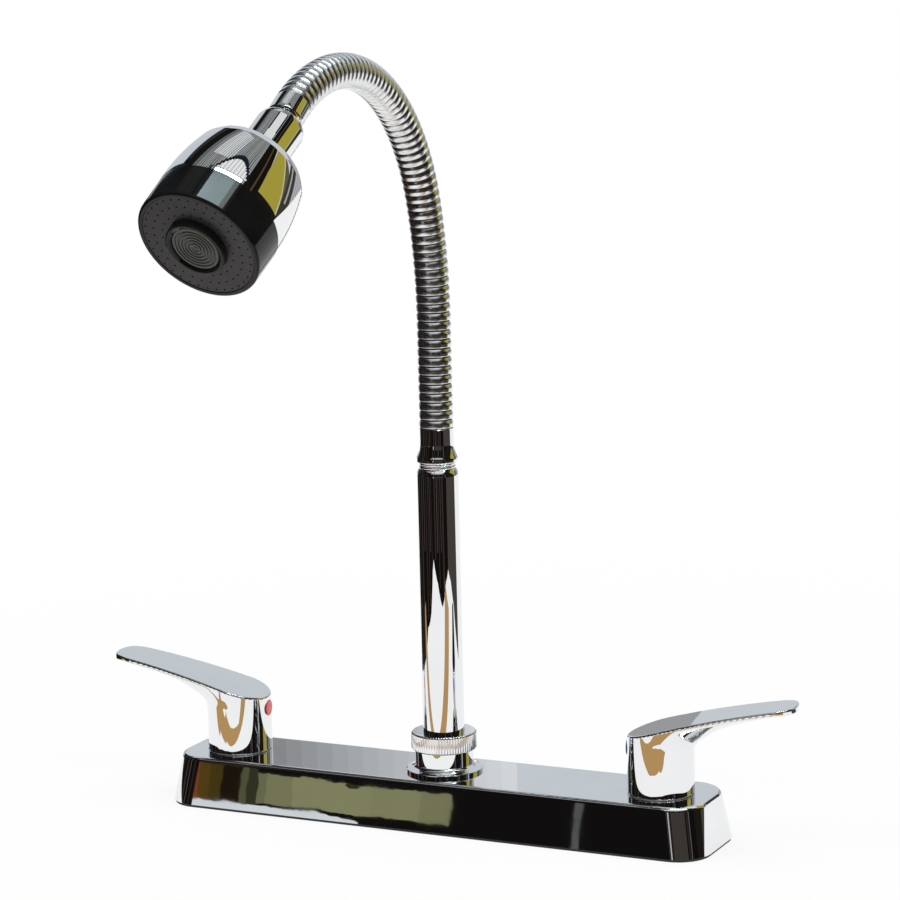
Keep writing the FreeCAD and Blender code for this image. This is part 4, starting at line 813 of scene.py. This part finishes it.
def flat_sides(item):
    """Keeps roundings from bending the look of the flat and straight sides next to them."""
    if item.data.has_custom_normals:
        return
    weighted = item.modifiers.new("sides", "WEIGHTED_NORMAL")
    weighted.keep_sharp = True
    weighted.weight = 100
    apply_modifiers(item)


def apply_modifiers(item):
    graph = bpy.context.evaluated_depsgraph_get()
    mesh = bpy.data.meshes.new_from_object(item.evaluated_get(graph))
    item.modifiers.clear()
    item.data = mesh


def place(item, body, slot, *replaced):
    """Gives a piece its body and its slot's material, and hides the CAD nodes that it stands for."""
    flat_sides(item)
    item.data.materials.clear()
    item.data.materials.append(materials[slot])
    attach(item, body)
    if replaced:
        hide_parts(*replaced)


# Spout foot and upright tube. Outlines are (radius, height), with a third number where a corner
# is rounded.
NUT = {"bore": 11.4, "mouth": 9.1, "radius": 14.3, "low": 31.9, "high": 39.8, "ridges": 72, "depth": 0.4}


def make_upright():
    flange = [
        (11.4, 22.2), (16.75, 22.2), (16.75, 23.6, 0.25),
        *bulge((16.7, 23.62), (12.78, 25.4), 6.0, False)[1:], (12.75, 25.6), (12.75, 31.9, 0.2), (11.4, 31.9)]
    place(lathe("spout_flange_skin", rounded(flange), around=144, sharp=30), "base", "chrome", "spout_flange")
    place(make_nut(), "base", "chrome", "knurled_nut")

    heading = spin(SPOUT_HEADING, "Z")
    tube = [(7.2, 36.0), (9.05, 36.0), (9.05, 152.6)]
    tube += bulge((9.05, 152.6), (7.85, 155.8), 4.9, True)[1:] + [(7.2, 155.8)]
    place(lathe("tube_skin", rounded(tube), heading, around=144, sharp=30), "spout", "chrome", "standpipe")

    beads = [(6.8, 155.8), *bulge((7.3, 155.8), (7.3, 157.3), 0.78, True),
             *bulge((7.3, 157.3), (7.3, 158.8), 0.78, True), (6.8, 158.8)]
    place(lathe("bead_washer", beads, heading), "spout", "chrome", "joint_washer")

    bell = [
        (HOSE_BORE, 158.8), (8.95, 158.8, 0.3), (8.95, 160.4),
        *bulge((8.95, 160.4), (CREST, 167.2), 15.4, False)[1:], (CREST, ROUTE_START - 0.25),
        (CREST - 0.25, ROUTE_START), (HOSE_BORE, ROUTE_START)]
    ferrule = lathe("bell_ferrule", rounded(bell), heading, around=144, sharp=30)
    place(ferrule, "spout", "chrome", "lower_ferrule")


def make_nut():
    """Nut with rounded ridges that end at its chamfers."""
    low, high, radius = NUT["low"], NUT["high"], NUT["radius"]
    per_ridge = 8
    levels = ((low, NUT["bore"], 0), (low, radius - 0.9, 0), (low + 0.15, radius - 0.55, 0),
              (low + 0.8, radius, 1), (high - 0.8, radius, 1), (high - 0.15, radius - 0.55, 0),
              (high, radius - 0.9, 0), (high, NUT["mouth"], 0))
    points, rows = [], []
    for level, size, ridged in levels:
        row = []
        for i, (x, y) in enumerate(circle(1, NUT["ridges"] * per_ridge)):
            wave = 0.5 - 0.5 * math.cos(2 * math.pi * i / per_ridge)
            reach = size - NUT["depth"] * ridged * wave ** 1.5
            row.append((reach * x, reach * y, level))
        add_row(points, rows, row)
    return new_piece("knurled_nut_skin", points, bridge(rows, True), sharp=60)


# Gooseneck: a straight rise and bends of (radius, angle), in the plane of the spout's heading
SPOUT_HEADING = 2.7
ROUTE_START = 173.4
RISE = 45.2
BENDS = ((176.6, 16.8), (86.9, 107.5))
ROUTE_LENGTH = RISE + sum(radius * math.radians(angle) for radius, angle in BENDS)
FERRULE = 9.0
PIVOT_REACH = 7.0
HOSE_TURNS = 65
TURNS_PER_BODY = 13
PITCH = (ROUTE_LENGTH - FERRULE) / HOSE_TURNS
CREST = 7.35
# Faces deeper than this under the crest get the near-black material of painted shade.
GROOVE = 0.6
HOSE_BORE = 5.6
WATER_HOSE = {"radius": 5.2, "bore": 3.6, "start": -27.6, "end": ROUTE_LENGTH - 6.5}
NECK_BODIES = ("spout", "neck_2", "neck_3", "neck_4", "neck_5")
# One turn of the strip: share of the pitch, depth under the crest
STRIP = ((0.0, 0.9), (0.065, 0.9), (0.075, 0.30), (0.095, 0.14), (0.12, 0.06), (0.16, 0.03), (0.30, 0.01),
         (0.48, 0.0), (0.54, 0.02), (0.60, 0.06), (0.66, 0.13), (0.72, 0.22), (0.78, 0.32), (0.84, 0.44),
         (0.91, 0.62), (0.92, 0.9))


def route_at(distance):
    """Frame on the hose's middle line: Z along the hose, X across the bend."""
    ahead, up, lean = 0.0, ROUTE_START + min(distance, RISE), 0.0
    left = distance - RISE
    for i, (radius, angle) in enumerate(BENDS):
        if left <= 0:
            break
        bend = left / radius if i == len(BENDS) - 1 else min(left / radius, math.radians(angle))
        ahead += radius * (math.cos(lean) - math.cos(lean + bend))
        up += radius * (math.sin(lean + bend) - math.sin(lean))
        lean += bend
        left -= radius * bend
    along = Vector((0, -math.sin(lean), math.cos(lean)))
    across = Vector((1, 0, 0))
    turn = Matrix((across, along.cross(across), along)).transposed().to_4x4()
    return spin(SPOUT_HEADING, "Z") @ Matrix.Translation((0, -ahead, up)) @ turn


def swept(name, rings, inner, around=72, sharp=32):
    """A tube through (distance, radius) rings along the route, with a bore of an inner radius."""
    points, rows = [], []
    for distance, radius in rings + even_rings(rings[-1][0], rings[0][0], inner):
        here = route_at(distance)
        add_row(points, rows, [here @ Vector((x, y, 0)) for x, y in circle(radius, around)])
    return new_piece(name, points, bridge(rows, True), sharp=sharp)


def even_rings(start, end, radius, steps=24):
    return [(start + (end - start) * k / steps, radius) for k in range(steps + 1)]


def follow_neck(piece, i, start, end):
    """Bakes the place of a length of hose that spans two neck bodies, tied to neither; the first and the last
    ride one body.
    """
    if 0 < i < len(NECK_BODIES):
        places = [route_at(at).translation * MM for at in (start, end)]
        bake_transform(piece)
    else:
        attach(piece, NECK_BODIES[0] if i == 0 else NECK_BODIES[4])


def make_hose():
    """The wound strip in six lengths, each with its middle over one of the neck's joints."""
    half = 0.5 * TURNS_PER_BODY * PITCH
    ribbed = HOSE_TURNS * PITCH
    ends = [0.0] + [half + TURNS_PER_BODY * PITCH * i for i in range(len(NECK_BODIES))] + [ribbed]
    make_water_hose([WATER_HOSE["start"]] + ends[1:-1] + [WATER_HOSE["end"]])
    for i, (start, end) in enumerate(zip(ends, ends[1:])):
        rings = []
        turns = range(int(math.floor(start / PITCH + 1e-6)), int(math.ceil(end / PITCH - 1e-6)))
        for turn in turns:
            for share, depth in STRIP:
                at = (turn + share) * PITCH
                if start - 1e-6 <= at <= end + 1e-6:
                    rings.append((at, CREST - depth))
        if rings[0][0] > start + 1e-6:
            rings.insert(0, (start, rings[0][1]))
        if rings[-1][0] < end - 1e-6:
            rings.append((end, rings[-1][1]))
        piece = swept("hose_%d" % i, rings, HOSE_BORE)
        piece.data.materials.append(materials["hose_chrome"])
        darken_grooves(piece)
        follow_neck(piece, i, start, end)
        if i < len(NECK_BODIES):
            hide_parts("gooseneck_%d" % (i + 1))
    rings = [(ribbed, CREST - 0.3), (ribbed + 0.25, CREST - 0.02)]
    rings += even_rings(ribbed + 0.4, ribbed + 8.6, CREST, 8)
    rings += [(ROUTE_LENGTH - 0.2, CREST - 0.1), (ROUTE_LENGTH, CREST - 0.35)]
    ferrule = swept("upper_ferrule_skin", rings, HOSE_BORE, 96)
    place(ferrule, "neck_5", "chrome", "upper_ferrule")


def make_water_hose(ends):
    """The inner hose, in the same lengths as the strip around it, each placed as the strip's length around it
    is.
    """
    for i, (start, end) in enumerate(zip(ends, ends[1:])):
        rings = even_rings(start, end, WATER_HOSE["radius"])
        piece = swept("water_hose_%d" % i, rings, WATER_HOSE["bore"], 48)
        piece.data.materials.append(materials["hose_plastic"])
        follow_neck(piece, i, start, end)
        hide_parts("inner_hose")


def darken_grooves(piece):
    """Gives the narrow grooves between the turns a near-black, rough material: painted shade where the deep
    grooves would be shaded.
    """
    piece.data.materials.append(materials["groove"])
    for face in piece.data.polygons:
        middle = face.center / MM
        straight = middle.z < ROUTE_START + RISE
        reach = math.hypot(middle.x, middle.y) if straight else from_route(middle)
        face.material_index = 1 if CREST - reach > GROOVE else 0


def from_route(point):
    """Distance of a point from the hose's middle line, past its straight stretch."""
    local = spin(-SPOUT_HEADING, "Z") @ point
    ahead, up = -local.y, local.z
    start_ahead, start_up, lean = 0.0, ROUTE_START + RISE, 0.0
    for radius, angle in BENDS:
        hub = (start_ahead + radius * math.cos(lean), start_up - radius * math.sin(lean))
        lean += math.radians(angle)
        if math.atan2(up - hub[1], hub[0] - ahead) <= lean:
            break
        start_ahead, start_up = hub[0] - radius * math.cos(lean), hub[1] + radius * math.sin(lean)
    return math.hypot(math.hypot(ahead - hub[0], up - hub[1]) - radius, local.x)


# Swivel and head, drawn along Z from the centre of the ball joint
HEAD_TURN = -6.6
ROCKER_TURN = 145.2
SHELL = {"back": 21.6, "back_radius": 20.4, "shoulder": (22.5, 25.0), "front": (25.5, 51.4), "curve": 90.0}
ROCKER = {"half": 7.75, "radius": 5.75, "middle": 34.6, "gap": 0.4, "depth": 19.0, "edge": 0.9,
          "proud": 0.5, "rise_from": 3.6, "rise_run": 1.8, "icon": 0.3}
ROCKER_BOX = ((-14.5, 18, 27.5), (14.5, 28, 41.5))
# Raised dots on the rocker, (x, z, radius)
ICONS = [(x - 9.0, z + ROCKER["middle"], 0.75) for x, z in circle(2.1, 6)]
ICONS += [(-9.0, ROCKER["middle"], 0.75), (9.0, ROCKER["middle"], 1.7)]


def head_frame(turn=0.0):
    end = route_at(ROUTE_LENGTH) @ Matrix.Translation((0, 0, PIVOT_REACH))
    return end @ spin(HEAD_TURN, "Y") @ spin(turn, "Z")


def shell_radius(z):
    """Radius of the head's swelling side at a distance along its axis."""
    middle = bulge_centre(Vector(SHELL["shoulder"]), Vector(SHELL["front"]), SHELL["curve"], True)
    return middle.x + np.sqrt(np.maximum(SHELL["curve"] ** 2 - (z - middle.y) ** 2, 0))


def make_collar():
    outline = [
        (7.3, -4.2), (8.9, -4.2, 1.7), (9.8, -1.2), (9.8, 26.6), (9.0, 26.6), (9.0, 23.5), (8.4, 22.5),
        (8.4, -2.6)]
    collar = lathe("collar_skin", rounded(outline, 8), head_frame(), around=144, sharp=30)
    place(collar, "collar", "chrome", "swivel_collar")


def make_shell():
    side = bulge(SHELL["shoulder"], SHELL["front"], SHELL["curve"], True, 24)
    outline = [
        (9.95, 24.6), (13.2, 24.6, 0.3), (13.2, 18.1, 0.2), (14.2, 18.1, 0.25), (14.2, 19.3, 0.15),
        (14.9, 19.3, 0.25), (14.9, 20.45, 0.15), (15.6, 20.45, 0.25), (15.6, SHELL["back"], 0.2),
        (SHELL["back_radius"], SHELL["back"], 1.3), *side, (25.2, 51.4), (23.9, 51.4), (23.6, 46.0),
        (23.0, 38.0), (20.8, 26.5), (18.5, 23.4), (15.0, 23.4), (15.0, 26.6), (9.95, 26.6)]
    shell = lathe("head_shell", rounded(outline), head_frame(ROCKER_TURN), around=192, sharp=30)
    cut_slot(shell)
    place(shell, "head", "chrome", "head_housing")


def cut_slot(shell):
    """Opens the shell for the rocker."""
    corners = []
    radius = ROCKER["radius"] + ROCKER["gap"]
    for middle, first in ((ROCKER["half"], -90), (-ROCKER["half"], 90)):
        corners += arc((middle, ROCKER["middle"]), radius, math.radians(first), math.pi, 16)
    count = len(corners)
    inner, outer = 16.2, 30.0
    points = [(x, reach, z) for reach in (inner, outer) for x, z in corners]
    faces = [tuple(range(count)), tuple(range(2 * count - 1, count - 1, -1))]
    faces += bridge([list(range(count)), list(range(count, 2 * count))])
    cutter = new_piece("slot_cutter", points, faces, head_frame(ROCKER_TURN))
    opened = shell.modifiers.new("slot", "BOOLEAN")
    opened.operation = "DIFFERENCE"
    opened.solver = "EXACT"
    opened.object = cutter
    apply_modifiers(shell)
    bpy.data.objects.remove(cutter)
    finish_mesh(shell.data, 30)


def rocker_field(x, y, z):
    """A slab with round ends, higher towards both ends and with raised dots."""
    flat = np.hypot(np.maximum(np.abs(x) - ROCKER["half"], 0), z - ROCKER["middle"]) - ROCKER["radius"]
    from_axis = np.hypot(x, y)
    share = np.clip((np.abs(x) - ROCKER["rise_from"]) / ROCKER["rise_run"], 0, 1)
    proud = ROCKER["proud"] + share ** 2 * (3 - 2 * share)
    for spot_x, spot_z, radius in ICONS:
        away = np.clip(np.hypot(x - spot_x, z - spot_z) / radius, 0, 1)
        proud = proud + ROCKER["icon"] * (1 - away ** 2) ** 2
    outside = from_axis - shell_radius(z) - proud
    return round_and(round_and(flat, outside, ROCKER["edge"]), ROCKER["depth"] - y, 0.4)


def make_rocker():
    matrix = head_frame(ROCKER_TURN)
    rocker = net("rocker_skin", rocker_field, *ROCKER_BOX, step=0.25, matrix=matrix)
    place(rocker, "rocker", "black_plastic", "rocker_switch")


def make_face():
    head = head_frame()
    ring = [
        (22.6, 49.5), (23.7, 49.5), (23.7, 51.4), (25.5, 51.4, 0.25), (25.2, 67.0, 1.8), (23.1, 67.0, 0.2),
        (23.1, 65.0), (22.6, 65.0)]
    face_ring = lathe("face_ring_skin", rounded(ring, 10), head, around=192, sharp=30)
    place(face_ring, "head", "black_plastic", "face_ring")
    aerator = [(10.0, 60.5), (12.2, 60.5), (12.2, 69.8, 1.2), (10.9, 69.8, 0.4), (10.0, 69.3), (9.9, 68.0)]
    lip = lathe("aerator_skin", rounded(aerator, 8), head, around=144, sharp=30)
    place(lip, "head", "black_plastic", "aerator_ring")
    front = 68.9
    ridges = [(0, front - 2.5), (9.75, front - 2.5), (9.75, front - 0.2), (9.6, front), (8.7, front)]
    for edge in (8.4, 7.0, 5.6, 4.2, 2.8):
        ridges += [(edge, front - 0.5), (edge - 0.5, front - 0.5), (edge - 0.65, front), (edge - 1.1, front)]
    ridges += [(1.2, front - 0.4), (0.7, front - 0.4), (0.5, front), (0, front)]
    place(lathe("insert_skin", ridges, head, around=144, sharp=25), "head", "mesh_grey", "aerator_insert")
    place(make_plate(), "head", "grey_plastic", "spray_plate")


# Spray plate, with rings of holes given as (reach, count)
PLATE = {"outer": 23.0, "inner": 12.3, "front": 66.75, "back": 65.1}
HOLES = {"rings": ((21.85, 36), (18.4, 30), (14.65, 24)), "first": -8.0, "mouth": 0.42, "floor": 0.32,
         "deep": 65.4}


def make_plate():
    build = bmesh.new()
    matrix = head_frame()

    def ring(radius, height, count, centre=(0, 0)):
        points = [Vector((centre[0] + x, centre[1] + y, height)) for x, y in circle(radius, count)]
        return [build.verts.new((matrix @ point) * MM) for point in points]

    def wall(one, two):
        for face in bridge([one, two]):
            build.faces.new(face)

    outer, inner = ring(PLATE["outer"], PLATE["front"], 160), ring(PLATE["inner"], PLATE["front"], 120)
    wall(outer, ring(PLATE["outer"], PLATE["back"], 160))
    wall(ring(PLATE["inner"], PLATE["back"], 120), inner)
    loops = [outer, inner]
    for reach, count in HOLES["rings"]:
        for i in range(count):
            angle = 2 * math.pi * i / count + math.radians(HOLES["first"])
            centre = (reach * math.cos(angle), reach * math.sin(angle))
            mouth = ring(HOLES["mouth"], PLATE["front"], 12, centre)
            floor = ring(HOLES["floor"], HOLES["deep"], 12, centre)
            wall(floor, mouth)
            build.faces.new(floor)
            loops.append(mouth)
    fill_between(build, loops)
    return built_piece("plate_skin", build, 30)


make_camera()
make_world()
make_floor()
make_lamps()
make_floor_cards()
make_room_cards()
make_front_view()
make_fan()
materials = make_materials()
dress_nodes()
place(make_cover(), "base", "chrome", "base_cover")
make_levers()
make_upright()
make_hose()
make_collar()
make_shell()
make_rocker()
make_face()

bpy.context.scene.view_settings.view_transform = "Standard"
